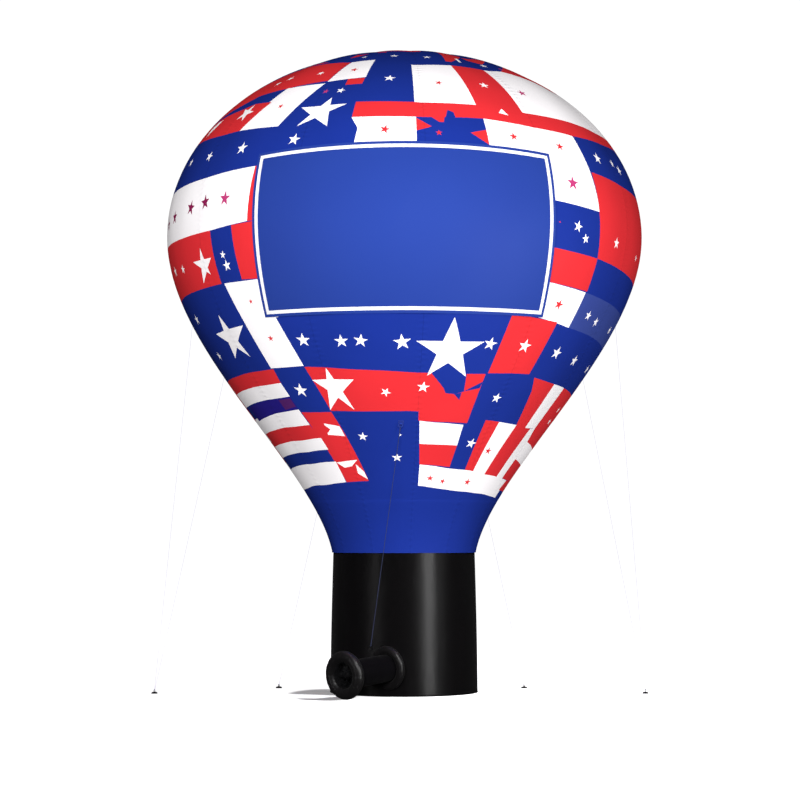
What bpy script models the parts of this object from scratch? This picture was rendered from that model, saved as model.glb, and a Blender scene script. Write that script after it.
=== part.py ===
"""Cold-air inflatable shaped like a hot air balloon: a sewn envelope on a black fan base, held by tethers.

Metres, +Z up. The front faces -Y and the origin is on the floor, under the middle of the base.
An azimuth is in degrees, counted from the front (-Y) towards the right (+X).
"""

import math

import bmesh
import bpy
import numpy as np
from mathutils import Matrix, Vector

# Fits and cloth
GAP = 0.0003
SHELL = 0.010

# Envelope, from the crown down to the top of the base
TOTAL_HEIGHT = 6.096
EQUATOR_RADIUS = 2.270
EQUATOR_HEIGHT = 4.310
CROWN_RISE = TOTAL_HEIGHT - EQUATOR_HEIGHT
SHOULDER_PULL = 1.042
WAIST_PULL = 0.807
WAIST_SLOPE = 0.206
CROWN_CAP_RADIUS = 0.300
SKIRT_SHARE = 0.77

# Gores: the long panels that run from the crown cap to the skirt
GORES = 12
GORE_FACETS = 4
FIRST_SEAM = 5.0
GORE_SWEEP = 360.0 / GORES
FACET_SWEEP = GORE_SWEEP / GORE_FACETS
CAP_STRIPS = 2
CROWN_STRIPS = 8
WAIST_STRIPS = 10
SKIRT_STRIPS = 3
SKIRT_PANELS = 4
SEAM_GAP_SWEEP = math.degrees(GAP / 1.0)

# Base: a slightly conical drum of four wall panels on a round floor panel
BASE_HEIGHT = 1.325
BASE_TOP_RADIUS = 0.684
BASE_FOOT_RADIUS = 0.7035
BASE_PANELS = 4
BASE_FACETS = 48
BASE_FIRST_SEAM = -60.0
FLOOR_THICKNESS = 0.010
ZIP_AZIMUTH = 176.25
ZIP_HEIGHTS = (0.35, 0.95)
ZIP_WIDTH = 0.060
ZIP_THICKNESS = 0.004

# Banner: the curved panel on the front, above the middle
BANNER_HALF_SWEEP = 37.0
BANNER_HEIGHTS = (3.420, 4.885)
BANNER_THICKNESS = 0.003

# Inflation duct, from the centre of the inlet ring to the port in the base wall
INLET_CENTRE = Vector((-0.5347, -1.1000, 0.2224))
PORT_CENTRE = Vector((-0.1536, -0.6830, 0.2637))
RING_MAJOR = 0.1684
RING_MINOR = 0.0545
RING_POINTS = 12
RING_FACETS = 32
SLEEVE_RADIUS = 0.125
SLEEVE_FACETS = 24
COLLAR_MINOR = 0.0400
BARREL_WALL = 0.003
BARREL_SPAN = (-0.020, 0.215)
BARREL_RADIUS = RING_MAJOR - RING_MINOR - GAP
BARREL_BORE = BARREL_RADIUS - BARREL_WALL
BARREL_FACETS = 32

# Fan, with places counted along the duct from the inlet ring's centre
GUARD_WIRE = 0.002
GUARD_RINGS = (0.030, 0.056, 0.082)
GUARD_BARS = 3
HUB_RADIUS = 0.032
HUB_SPAN = (0.015, 0.060)
BLADES = 5
BLADE_TIP = 0.105
BLADE_CHORD = 0.046
BLADE_THICKNESS = 0.003
BLADE_PITCH = 38.0
SHAFT_RADIUS = 0.006
MOTOR_RADIUS = 0.048
MOTOR_SPAN = (0.080, 0.190)
BRACKET_SPAN = (0.100, 0.112)
BRACKET_BAND = 0.007
BRACKET_ARM = 0.010
BRACKET_ARMS = 4
GLAND_RADIUS = 0.009
GLAND_LENGTH = 0.022
GLAND_PLACE = 0.150

# Tethers
LINE_RADIUS = 0.0025
TAB_SIZE = (0.070, 0.050, 0.003)
KEEPER_SIZE = (0.012, 0.032, 0.012)
D_RING_MAJOR = 0.018
D_RING_MINOR = 0.0035
D_RING_LIFT = 0.0085
ANCHOR_FOOT_RADIUS = 0.032
ANCHOR_TOP_RADIUS = 0.024
ANCHOR_HEIGHT = 0.016
EYE_MAJOR = 0.011
EYE_MINOR = 0.0035
EYE_RISE = 0.0095
EYE_SPREAD = 1.5

# Ground anchors: name, x, y
ANCHORS = (
    ("left", -2.344, -0.250),
    ("right", 2.268, -0.250),
    ("back_left", -1.217, 0.520),
    ("back_right", 1.168, 0.520),
)

# Tether lines: name, azimuth of the tab, strip of the gore that it is sewn to, anchor
TETHERS = (
    ("left_front", -104.5, 3, "left"),
    ("left_back", -127.5, 3, "left"),
    ("back_left", -165.0, 4, "back_left"),
    ("back_right", 166.0, 4, "back_right"),
    ("right_back", 127.5, 3, "right"),
    ("right_front", 104.5, 3, "right"),
)

# Front line, from a tab on the envelope to one on the base wall, beside the duct
FRONT_TAB = (-1.2, 8)
FRONT_LOW_AZIMUTH = -26.25
FRONT_LOW_HEIGHT = 0.430

# Surface finishes: name, colour, roughness, metallic
FINISHES = (
    ("printed_nylon", (0.10, 0.13, 0.42), 0.55, 0.0),
    ("blue_nylon", (0.012, 0.030, 0.27), 0.55, 0.0),
    ("black_nylon", (0.008, 0.008, 0.009), 0.40, 0.0),
    ("banner_vinyl", (0.035, 0.080, 0.44), 0.50, 0.0),
    ("webbing", (0.02, 0.02, 0.02), 0.80, 0.0),
    ("tether_cord", (0.75, 0.75, 0.77), 0.75, 0.0),
    ("black_plastic", (0.012, 0.012, 0.013), 0.45, 0.0),
    ("black_steel", (0.02, 0.02, 0.02), 0.45, 0.8),
)


def polar(radius, azimuth, height):
    """A point at a distance from the vertical axis, in the direction of an azimuth."""
    turn = math.radians(azimuth)
    return Vector((radius * math.sin(turn), -radius * math.cos(turn), height))


def crown_curve(angle):
    """Point, outward normal and speed of the ellipse above the equator: 90 at the crown, 0 at the equator."""
    turn = math.radians(angle)
    point = Vector((EQUATOR_RADIUS * math.cos(turn), EQUATOR_HEIGHT + CROWN_RISE * math.sin(turn)))
    normal = Vector((CROWN_RISE * math.cos(turn), EQUATOR_RADIUS * math.sin(turn)))
    return point, normal.normalized(), math.radians(normal.length)


def waist_curve(share):
    """Point, outward normal and speed of the cubic curve from the equator, at 0, to the base's top, at 1."""
    start = Vector((EQUATOR_RADIUS, EQUATOR_HEIGHT))
    upper = start - Vector((0.0, SHOULDER_PULL))
    end = Vector((BASE_TOP_RADIUS, BASE_HEIGHT))
    lower = end + WAIST_PULL * Vector((WAIST_SLOPE, 1.0))
    rest = 1.0 - share
    point = rest**3 * start + 3 * rest**2 * share * upper + 3 * rest * share**2 * lower + share**3 * end
    along = 3 * (rest**2 * (upper - start) + 2 * rest * share * (lower - upper) + share**2 * (end - lower))
    normal = Vector((-along.y, along.x))
    return point, normal.normalized(), along.length


def between(start, end, steps):
    """Evenly spaced values from start to end."""
    return np.linspace(start, end, steps + 1).tolist()


CAP_ANGLE = math.degrees(math.acos(CROWN_CAP_RADIUS / EQUATOR_RADIUS))
CROWN_LEVELS = [crown_curve(angle) for angle in between(CAP_ANGLE, 0.0, CROWN_STRIPS)]
WAIST_LEVELS = [waist_curve(share) for share in between(0.0, SKIRT_SHARE, WAIST_STRIPS)]
LEVELS = CROWN_LEVELS + WAIST_LEVELS[1:]


def facet_middle(azimuth):
    """Azimuth of the middle of the gore's facet that an azimuth falls on."""
    return FIRST_SEAM + FACET_SWEEP * (math.floor((azimuth - FIRST_SEAM) / FACET_SWEEP) + 0.5)


def skin_point(azimuth, height, lift=0.0):
    """A point on the flat facets of the gores, or lifted off them away from the axis."""
    radii = [point.x for point, normal, speed in reversed(LEVELS)]
    heights = [point.y for point, normal, speed in reversed(LEVELS)]
    radius = float(np.interp(height, heights, radii)) + lift
    flat = radius * math.cos(math.radians(FACET_SWEEP / 2))
    return polar(flat / math.cos(math.radians(azimuth - facet_middle(azimuth))), azimuth, height)


def wall_radius(height):
    """Outer radius of the base wall."""
    return BASE_FOOT_RADIUS + (BASE_TOP_RADIUS - BASE_FOOT_RADIUS) * height / BASE_HEIGHT


def make_collection(name):
    collection = bpy.data.collections.new(name)
    bpy.context.scene.collection.children.link(collection)
    return collection


def make_materials():
    made = {}
    for name, colour, roughness, metallic in FINISHES:
        material = bpy.data.materials.new(name)
        material.use_nodes = True
        shader = material.node_tree.nodes["Principled BSDF"]
        shader.inputs["Base Color"].default_value = (*colour, 1.0)
        shader.inputs["Roughness"].default_value = roughness
        shader.inputs["Metallic"].default_value = metallic
        made[name] = material
    return made


def add_object(name, mesh, finish=None):
    """A part in the balloon's collection, or a cutter or joined shape where it has no finish."""
    part = bpy.data.objects.new(name, mesh)
    if finish:
        mesh.materials.append(MATERIALS[finish])
        PARTS.objects.link(part)
    else:
        part.display_type = "WIRE"
        part.hide_render = True
        TOOLS.objects.link(part)
    return part


def mesh_from(bm, name):
    mesh = bpy.data.meshes.new(name)
    bm.to_mesh(mesh)
    bm.free()
    return mesh


def combine(part, tool, operation):
    """Joins a shape to a part, or cuts it away."""
    step = part.modifiers.new(tool.name, "BOOLEAN")
    step.operation = operation
    step.solver = "EXACT"
    step.object = tool


def turned_panel(name, section, start, sweep, steps, finish):
    """A closed solid: a section of (radius, height) points, turned about the vertical axis by part of a turn."""
    bm = bmesh.new()
    corners = [bm.verts.new(polar(radius, start, height)) for radius, height in section]
    face = bm.faces.new(corners)
    geometry = [face, *face.edges, *face.verts]
    bmesh.ops.spin(
        bm, geom=geometry, cent=(0, 0, 0), axis=(0, 0, 1), angle=math.radians(sweep), steps=steps, use_merge=False
    )
    bmesh.ops.recalc_face_normals(bm, faces=bm.faces)
    return add_object(name, mesh_from(bm, name), finish)


def turned_ring(name, profile, steps, finish=None):
    """A closed solid of a whole turn: a profile of (radius, height) points that runs down its outer side."""
    mesh = bpy.data.meshes.new(name)
    edges = [(i, i + 1) for i in range(len(profile) - 1)]
    closed = profile[0][0] > 0.0
    if closed:
        edges.append((len(profile) - 1, 0))
    mesh.from_pydata([(radius, 0.0, height) for radius, height in profile], edges, [])
    part = add_object(name, mesh, finish)
    screw = part.modifiers.new("turn", "SCREW")
    screw.steps = steps
    screw.render_steps = steps
    screw.use_merge_vertices = True
    screw.merge_threshold = 0.00001
    return part


def round_profile(major, minor, points):
    """The profile of a ring of round section, running down its outer side."""
    turns = [math.tau * i / points for i in range(points)]
    return [(major + minor * math.cos(turn), -minor * math.sin(turn)) for turn in turns]


def box(name, size, finish=None):
    bm = bmesh.new()
    bmesh.ops.create_cube(bm, size=1.0, matrix=Matrix.Diagonal((*size, 1.0)))
    return add_object(name, mesh_from(bm, name), finish)


def cylinder(name, low_radius, high_radius, span, segments, finish=None):
    """A solid cylinder or cone on the local Z axis, from one place to another."""
    low, high = span
    bm = bmesh.new()
    bmesh.ops.create_cone(
        bm,
        cap_ends=True,
        segments=segments,
        radius1=low_radius,
        radius2=high_radius,
        depth=high - low,
        matrix=Matrix.Translation((0, 0, (low + high) / 2)),
    )
    return add_object(name, mesh_from(bm, name), finish)


def frame_of(origin, x_axis, y_axis, z_axis):
    """A placing matrix from an origin and three axes."""
    turn = Matrix((x_axis, y_axis, z_axis)).transposed()
    return Matrix.Translation(origin) @ turn.to_4x4()


def shell_section(levels):
    """A closed section of the shell: its outer line down, and its inner line back up."""
    outer = [tuple(point) for point, normal, speed in levels]
    inner = [tuple(point - SHELL * normal) for point, normal, speed in levels]
    return outer + inner[::-1]


def make_envelope():
    """Crown cap, twelve gores and the four panels of the plain skirt, with open seams of a hair's width."""
    cap = [crown_curve(angle) for angle in between(90.0, CAP_ANGLE, CAP_STRIPS)]
    top, edge = cap[0], cap[1:]
    profile = [(0.0, top[0].y)] + [tuple(point) for point, normal, speed in edge]
    profile += [tuple(point - SHELL * normal) for point, normal, speed in edge[::-1]]
    profile += [(0.0, top[0].y - SHELL)]
    crown = turned_ring("crown_cap", profile, GORES * GORE_FACETS, "printed_nylon")
    crown.rotation_euler.z = math.radians(FIRST_SEAM - 90.0)

    cap_gap = GAP / CROWN_LEVELS[0][2]
    levels = [crown_curve(CAP_ANGLE - cap_gap)] + LEVELS[1:]
    for gore in range(GORES):
        start = FIRST_SEAM + gore * GORE_SWEEP + SEAM_GAP_SWEEP / 2
        name = f"envelope_gore_{gore + 1:02d}"
        sweep = GORE_SWEEP - SEAM_GAP_SWEEP
        turned_panel(name, shell_section(levels), start, sweep, GORE_FACETS, "printed_nylon")

    skirt_gap = GAP / LEVELS[-1][2]
    shares = between(SKIRT_SHARE + skirt_gap, 1.0, SKIRT_STRIPS)
    section = shell_section([waist_curve(share) for share in shares])
    hem = SKIRT_STRIPS + 1
    section[hem] = (section[hem][0], BASE_HEIGHT)
    sweep = 360.0 / SKIRT_PANELS
    for panel in range(SKIRT_PANELS):
        start = FIRST_SEAM + panel * sweep + SEAM_GAP_SWEEP / 2
        steps = GORES * GORE_FACETS // SKIRT_PANELS
        turned_panel(f"skirt_panel_{panel + 1}", section, start, sweep - SEAM_GAP_SWEEP, steps, "blue_nylon")


def make_banner():
    """The plain banner panel: a curved sheet that lies on the facets of the gores."""
    edge = BANNER_HALF_SWEEP
    folds = [FIRST_SEAM + FACET_SWEEP * step for step in range(-GORES * GORE_FACETS, GORES * GORE_FACETS)]
    azimuths = [-edge] + [fold for fold in folds if -edge < fold < edge] + [edge]
    low, high = BANNER_HEIGHTS
    levels = [point.y for point, normal, speed in LEVELS if low < point.y < high]
    heights = [low] + sorted(levels) + [high]
    bm = bmesh.new()
    bmesh.ops.create_grid(bm, x_segments=len(azimuths) - 1, y_segments=len(heights) - 1, size=1.0)
    bm.verts.ensure_lookup_table()
    for vert in bm.verts:
        column = round((vert.co.x + 1.0) / 2.0 * (len(azimuths) - 1))
        row = round((vert.co.y + 1.0) / 2.0 * (len(heights) - 1))
        vert.co = skin_point(azimuths[column], heights[row], 2 * GAP)
    bmesh.ops.recalc_face_normals(bm, faces=bm.faces)
    outward = sum(face.normal.dot(face.calc_center_median()) for face in bm.faces)
    if outward < 0:
        bmesh.ops.reverse_faces(bm, faces=bm.faces)
    banner = add_object("banner_panel", mesh_from(bm, "banner_panel"), "banner_vinyl")
    thicken = banner.modifiers.new("thickness", "SOLIDIFY")
    thicken.thickness = BANNER_THICKNESS
    thicken.offset = 1.0
    thicken.use_even_offset = True


def make_base():
    """Floor panel, four wall panels and the zip flap at the back."""
    cylinder("base_floor", BASE_FOOT_RADIUS, BASE_FOOT_RADIUS, (0.0, FLOOR_THICKNESS), BASE_FACETS, "black_nylon")
    low = FLOOR_THICKNESS + GAP
    high = BASE_HEIGHT - GAP
    outer = [(wall_radius(low), low), (wall_radius(high), high)]
    section = outer + [(radius - SHELL, height) for radius, height in reversed(outer)]
    sweep = 360.0 / BASE_PANELS
    walls = []
    for panel in range(BASE_PANELS):
        start = BASE_FIRST_SEAM + panel * sweep + SEAM_GAP_SWEEP / 2
        name = f"base_wall_{panel + 1}"
        steps = BASE_FACETS // BASE_PANELS
        walls.append(turned_panel(name, section, start, sweep - SEAM_GAP_SWEEP, steps, "black_nylon"))

    low, high = ZIP_HEIGHTS
    seat, normal = wall_seat(ZIP_AZIMUTH, (low + high) / 2)
    across = Vector((0, 0, 1)).cross(normal).normalized()
    up = normal.cross(across)
    flap = box("deflation_zip", (ZIP_WIDTH, high - low, ZIP_THICKNESS), "webbing")
    flap.matrix_world = frame_of(seat + normal * (GAP + ZIP_THICKNESS / 2), across, up, normal)
    return walls[0]


def wall_seat(azimuth, height):
    """Middle of the base wall's facet at an azimuth, and the facet's outward normal."""
    flat = math.cos(math.pi / BASE_FACETS)
    seat = polar(wall_radius(height) * flat, azimuth, height)
    rise = (BASE_FOOT_RADIUS - BASE_TOP_RADIUS) * flat / BASE_HEIGHT
    normal = polar(1.0, azimuth, rise).normalized()
    return seat, normal


def gore_seat(azimuth, strip):
    """A place midway down a strip of a gore, and its facet's outward normal. Strips count down from the equator."""
    high = WAIST_LEVELS[strip - 1][0].y
    low = WAIST_LEVELS[strip][0].y
    seat = skin_point(azimuth, (high + low) / 2)
    along = skin_point(azimuth, high) - skin_point(azimuth, low)
    across = polar(1.0, facet_middle(azimuth) + 90.0, 0.0)
    return seat, across.cross(along).normalized()


def make_tab(name, seat, normal, heading):
    """A webbing tab with its sewn keeper and D-ring, which points along its line. Returns the ring's centre."""
    across = normal.cross(heading).normalized()
    down = across.cross(normal)
    tab = box(name, TAB_SIZE, "webbing")
    tab.matrix_world = frame_of(seat + normal * (GAP + TAB_SIZE[2] / 2), down, across, normal)
    keeper = box(f"{name}_keeper", KEEPER_SIZE)
    keeper.matrix_world = frame_of(seat + normal * D_RING_LIFT, down, across, normal)
    ring = turned_ring(f"{name}_ring", round_profile(D_RING_MAJOR, D_RING_MINOR, 6), 12)
    centre = seat + normal * D_RING_LIFT + heading * D_RING_MAJOR
    ring.matrix_world = frame_of(centre, heading, across, heading.cross(across))
    combine(tab, keeper, "UNION")
    combine(tab, ring, "UNION")
    return centre


def make_line(name, start, end):
    """A taut line between two points."""
    along = (end - start).normalized()
    side = along.orthogonal().normalized()
    line = cylinder(name, LINE_RADIUS, LINE_RADIUS, (0.0, (end - start).length), 8, "tether_cord")
    line.matrix_world = frame_of(start, side, along.cross(side), along)


def make_anchor(name, x, y, headings):
    """A ground anchor: a low round foot with an eye on top, in the plane of its lines."""
    foot = cylinder(
        f"ground_anchor_{name}", ANCHOR_FOOT_RADIUS, ANCHOR_TOP_RADIUS, (0.0, ANCHOR_HEIGHT), 16, "black_plastic"
    )
    foot.location = (x, y, 0.0)
    other = headings[1] if len(headings) > 1 else Vector((0, 0, 1))
    side = headings[0].cross(other).normalized()
    level = side.orthogonal().normalized()
    eye = turned_ring(f"anchor_eye_{name}", round_profile(EYE_MAJOR, EYE_MINOR, 6), 12)
    eye.matrix_world = frame_of(eye_centre(x, y), level, side.cross(level), side)
    combine(foot, eye, "UNION")


def eye_centre(x, y):
    return Vector((x, y, ANCHOR_HEIGHT + EYE_RISE))


def make_tethers():
    """Six lines to four ground anchors, and the front line to a tab on the base wall."""
    places = {name: eye_centre(x, y) for name, x, y in ANCHORS}
    headings = {name: [] for name in places}
    runs = []
    for name, azimuth, strip, anchor in TETHERS:
        seat, normal = gore_seat(azimuth, strip)
        heading = (places[anchor] - seat).normalized()
        centre = make_tab(f"tether_tab_{name}", seat, normal, heading)
        headings[anchor].append(heading)
        runs.append((name, anchor, centre, heading))
    for name, anchor, centre, heading in runs:
        mean = sum(headings[anchor], Vector()) / len(headings[anchor])
        back = -(heading + EYE_SPREAD * (heading - mean)).normalized()
        end = places[anchor] + back * (EYE_MAJOR + EYE_MINOR + GAP)
        start = centre + heading * (D_RING_MAJOR + D_RING_MINOR + GAP)
        make_line(f"tether_line_{name}", start, end)
    for name, x, y in ANCHORS:
        make_anchor(name, x, y, headings[name])

    high_seat, high_normal = gore_seat(*FRONT_TAB)
    low_seat, low_normal = wall_seat(FRONT_LOW_AZIMUTH, FRONT_LOW_HEIGHT)
    heading = (low_seat - high_seat).normalized()
    high = make_tab("tether_tab_front", high_seat, high_normal, heading)
    low = make_tab("tether_tab_base", low_seat, low_normal, -heading)
    heading = (low - high).normalized()
    reach = heading * (D_RING_MAJOR + D_RING_MINOR + 2 * GAP)
    make_line("tether_line_front", high + reach, low - reach)


def make_duct(port_wall):
    """Collar, sleeve, inlet ring and fan on the duct's axis, and the port cut in the wall panel."""
    along = (PORT_CENTRE - INLET_CENTRE).normalized()
    level = Vector((0, 0, 1)).cross(along).normalized()
    axis = bpy.data.objects.new("duct_axis", None)
    axis.matrix_world = frame_of(INLET_CENTRE, level, along.cross(level), along)
    PARTS.objects.link(axis)
    length = (PORT_CENTRE - INLET_CENTRE).length
    made = []

    ring = round_profile(RING_MAJOR, RING_MINOR, RING_POINTS)
    back = sorted((radius, height) for radius, height in ring if height > 0 and radius <= RING_MAJOR)
    touch = SLEEVE_RADIUS / math.cos(math.pi / RING_FACETS)
    seat = float(np.interp(touch, [radius for radius, height in back], [height for radius, height in back])) + GAP
    reach = length + 2 * SLEEVE_RADIUS
    tube = [(SLEEVE_RADIUS, reach), (SLEEVE_RADIUS, seat), (SLEEVE_RADIUS - SHELL, seat)]
    tube += [(SLEEVE_RADIUS - SHELL, reach)]
    sleeve = turned_ring("inflation_sleeve", tube, SLEEVE_FACETS, "black_nylon")
    roll = round_profile(SLEEVE_RADIUS + GAP + COLLAR_MINOR, COLLAR_MINOR, 10)
    collar = turned_ring("port_collar", roll, SLEEVE_FACETS, "black_nylon")
    collar.location = (0, 0, length)
    made += [sleeve, collar]
    clearance = cylinder(
        "base_clearance",
        wall_radius(-SHELL) + GAP,
        wall_radius(BASE_HEIGHT) + GAP,
        (-SHELL, BASE_HEIGHT),
        BASE_FACETS,
    )
    combine(sleeve, clearance, "DIFFERENCE")
    combine(collar, clearance, "DIFFERENCE")

    bore = cylinder("port_bore", SLEEVE_RADIUS - SHELL, SLEEVE_RADIUS - SHELL, (seat, reach), SLEEVE_FACETS)
    made.append(bore)
    combine(port_wall, bore, "DIFFERENCE")

    made.append(turned_ring("inlet_ring", ring, RING_FACETS, "black_nylon"))
    near, far = BARREL_SPAN
    barrel = [(BARREL_RADIUS, far), (BARREL_RADIUS, near), (BARREL_BORE, near), (BARREL_BORE, far)]
    made.append(turned_ring("blower_barrel", barrel, BARREL_FACETS, "black_plastic"))
    made += make_guard()
    made += make_fan()

    gland = cylinder("cable_gland", GLAND_RADIUS, 0.7 * GLAND_RADIUS, (0.0, GLAND_LENGTH), 12, "black_plastic")
    facet = math.pi / SLEEVE_FACETS
    out = Vector((math.cos(facet), math.sin(facet), 0.0))
    place = out * (SLEEVE_RADIUS * math.cos(facet) + GAP) + Vector((0, 0, GLAND_PLACE))
    gland.matrix_local = frame_of(place, Vector((0, 0, 1)), out.cross(Vector((0, 0, 1))), out)
    made.append(gland)
    for piece in made:
        piece.parent = axis


def make_guard():
    """The finger guard: wire rings and crossing bars, welded into one grille."""
    outer = BARREL_BORE - GAP - GUARD_WIRE
    guard = turned_ring("finger_guard", round_profile(outer, GUARD_WIRE, 6), BARREL_FACETS, "black_steel")
    shapes = [guard]
    for radius in GUARD_RINGS:
        ring = turned_ring(f"guard_ring_{round(1000 * radius)}", round_profile(radius, GUARD_WIRE, 6), 16)
        combine(guard, ring, "UNION")
        shapes.append(ring)
    for bar in range(GUARD_BARS):
        rod = cylinder(f"guard_bar_{bar + 1}", GUARD_WIRE * 0.9, GUARD_WIRE * 0.9, (-outer, outer), 6)
        rod.rotation_euler = (math.radians(90.0), 0.0, math.pi * (bar + 0.5) / GUARD_BARS)
        combine(guard, rod, "UNION")
        shapes.append(rod)
    return shapes


def make_fan():
    """The impeller on the motor's shaft, and the bracket that holds the motor in the barrel."""
    front, back = HUB_SPAN
    hub = [(0.0, back), (HUB_RADIUS, back), (HUB_RADIUS, front + 0.3 * HUB_RADIUS)]
    hub += [(0.6 * HUB_RADIUS, front), (0.0, front)]
    impeller = turned_ring("impeller", hub, 24, "black_plastic")
    shapes = [impeller]
    root = 0.8 * HUB_RADIUS
    for number in range(BLADES):
        blade = box(f"blade_{number + 1}", (BLADE_TIP - root, BLADE_CHORD, BLADE_THICKNESS))
        turn = Matrix.Rotation(math.tau * number / BLADES, 4, "Z")
        pitch = Matrix.Rotation(math.radians(BLADE_PITCH), 4, "X")
        blade.matrix_local = turn @ Matrix.Translation(((BLADE_TIP + root) / 2, 0, (front + back) / 2)) @ pitch
        combine(impeller, blade, "UNION")
        shapes.append(blade)

    front, back = MOTOR_SPAN
    body = [(0.0, back), (0.85 * MOTOR_RADIUS, back), (MOTOR_RADIUS, back - 0.15 * MOTOR_RADIUS)]
    body += [(MOTOR_RADIUS, front), (SHAFT_RADIUS, front), (SHAFT_RADIUS, HUB_SPAN[1] + GAP)]
    body += [(0.0, HUB_SPAN[1] + GAP)]
    shapes.append(turned_ring("motor", body, 24, "black_steel"))

    front, back = BRACKET_SPAN
    inner = MOTOR_RADIUS + GAP
    outer = inner + BRACKET_BAND
    band = [(outer, back), (outer, front), (inner, front), (inner, back)]
    bracket = turned_ring("motor_bracket", band, 24, "black_steel")
    shapes.append(bracket)
    start = inner + BRACKET_BAND / 2
    end = BARREL_BORE * math.cos(math.pi / BARREL_FACETS) - GAP
    for number in range(BRACKET_ARMS):
        arm = box(f"bracket_arm_{number + 1}", (end - start, BRACKET_ARM / 2, BRACKET_ARM))
        turn = Matrix.Rotation(math.tau * number / BRACKET_ARMS, 4, "Z")
        arm.matrix_local = turn @ Matrix.Translation(((start + end) / 2, 0, (front + back) / 2))
        combine(bracket, arm, "UNION")
        shapes.append(arm)
    return shapes


for old in list(bpy.data.objects):
    bpy.data.objects.remove(old)
PARTS = make_collection("balloon_inflatable")
TOOLS = make_collection("cutters")
MATERIALS = make_materials()

make_envelope()
make_banner()
make_duct(make_base())
make_tethers()
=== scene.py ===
# %% [markdown]
# Hot air balloon shaped inflatable
#
# The real object is a cold-air inflatable: a big sewn envelope, printed with a patchwork of stars and
# stripes, on a black drum that holds the blower's duct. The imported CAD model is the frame. Each piece
# here is laid over a part of it, so this lesson starts with loading that frame and keeping its size.

# %% Load the frame
import math
from bisect import bisect_left

import bmesh
import bpy
from mathutils import Matrix, Vector, noise


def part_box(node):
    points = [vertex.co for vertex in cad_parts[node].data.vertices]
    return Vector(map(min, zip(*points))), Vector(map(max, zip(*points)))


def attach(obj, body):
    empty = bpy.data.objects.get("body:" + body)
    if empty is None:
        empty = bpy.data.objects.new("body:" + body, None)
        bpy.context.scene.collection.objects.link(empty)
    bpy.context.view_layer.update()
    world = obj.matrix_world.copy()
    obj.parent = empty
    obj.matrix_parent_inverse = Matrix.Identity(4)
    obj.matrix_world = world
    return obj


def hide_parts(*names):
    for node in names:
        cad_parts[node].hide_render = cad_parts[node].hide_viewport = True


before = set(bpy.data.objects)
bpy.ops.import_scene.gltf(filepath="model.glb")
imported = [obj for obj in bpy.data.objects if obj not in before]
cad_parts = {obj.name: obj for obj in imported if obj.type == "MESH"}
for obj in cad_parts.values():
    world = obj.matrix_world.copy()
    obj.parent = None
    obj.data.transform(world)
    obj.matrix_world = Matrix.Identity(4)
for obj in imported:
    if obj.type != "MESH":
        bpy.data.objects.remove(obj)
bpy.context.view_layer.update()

# %% [markdown]
# The camera stands low, 22 m away, and looks slightly up. A long lens keeps the verticals almost
# parallel, which is why the balloon's widest line looks nearly level.

# %% Camera
LENS = 103.6
CAMERA_PLACE = (0.0, -22.0, 1.503)
CAMERA_TILT = 93.315
SIDE_SHIFT = -0.005

lens = bpy.data.cameras.new("camera")
lens.lens = LENS
lens.shift_x = SIDE_SHIFT
lens.clip_end = 200.0
camera = bpy.data.objects.new("camera", lens)
camera.location = CAMERA_PLACE
camera.rotation_euler = (math.radians(CAMERA_TILT), 0.0, 0.0)
bpy.context.scene.collection.objects.link(camera)
bpy.context.scene.camera = camera
bpy.context.scene.view_settings.view_transform = "Standard"

# %% [markdown]
# Materials are node trees. Two helpers keep them short: one turns a paint chart's hex colour into the
# linear values that a shader wants, and one adds a node with its settings and links in a single call.

# %% Helpers for materials


def linear(colour):
    """An sRGB hex colour as linear red, green, blue and alpha."""
    shares = [int(colour[place : place + 2], 16) / 255 for place in (1, 3, 5)]
    return (*[s / 12.92 if s <= 0.04045 else ((s + 0.055) / 1.055) ** 2.4 for s in shares], 1.0)


def add(tree, kind, inputs=None, **settings):
    """Adds a node. Its inputs are values, or other nodes' outputs to link; settings are its own choices."""
    node = tree.nodes.new("ShaderNode" + kind)
    for name, value in settings.items():
        setattr(node, name, value)
    for name, value in (inputs or {}).items():
        if isinstance(value, bpy.types.NodeSocket):
            tree.links.new(value, node.inputs[name])
        else:
            node.inputs[name].default_value = value
    return node


def new_material(name, sockets):
    """A material with a plain shader, its sockets set. Returns its tree and shader."""
    material = bpy.data.materials.new(name)
    material.use_nodes = True
    shader = material.node_tree.nodes["Principled BSDF"]
    for socket, value in sockets.items():
        shader.inputs[socket].default_value = value
    return material, material.node_tree, shader


def wave_scale(pitch):
    """The scale at which Blender's wave texture repeats once in a real length."""
    return math.tau / (20.0 * pitch)


# %% [markdown]
# The envelope is polyester cloth with a thin coating inside, printed by heat transfer. It is nearly matt,
# so its roughness is high and its specular level low. Its threads are 0.3 mm apart, too fine to show from
# 22 m, so the weave is drawn as a ripstop grid of 9 mm. The grid runs on the piece's own cloth map, which
# is in metres. Each dye has two close tones, because heat transfer never prints quite evenly, and a share
# of painted glow: an emission that brightens the cloth beyond what the lamps give.

# %% Dyes, threads and seams
RIPSTOP_PITCH = 0.009
THREAD_RELIEF = 0.0003
SEAM_REACH = 0.10
# Each dye: two print tones, and the strength of its painted glow.
DYES = {
    "blue": ("#162C83", "#192F8B", 0.06),
    "red": ("#CF2A30", "#D82E34", 0.14),
    "white": ("#F0ECEE", "#F7F4F6", 0.20),
    "pink": ("#B2366E", "#BC3E76", 0.10),
    "maroon": ("#84184A", "#901E54", 0.08),
    "plum": ("#4E1F62", "#56266A", 0.08),
    "violet": ("#22197C", "#281F84", 0.08),
    "pale": ("#33428A", "#394A94", 0.08),
}


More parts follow.
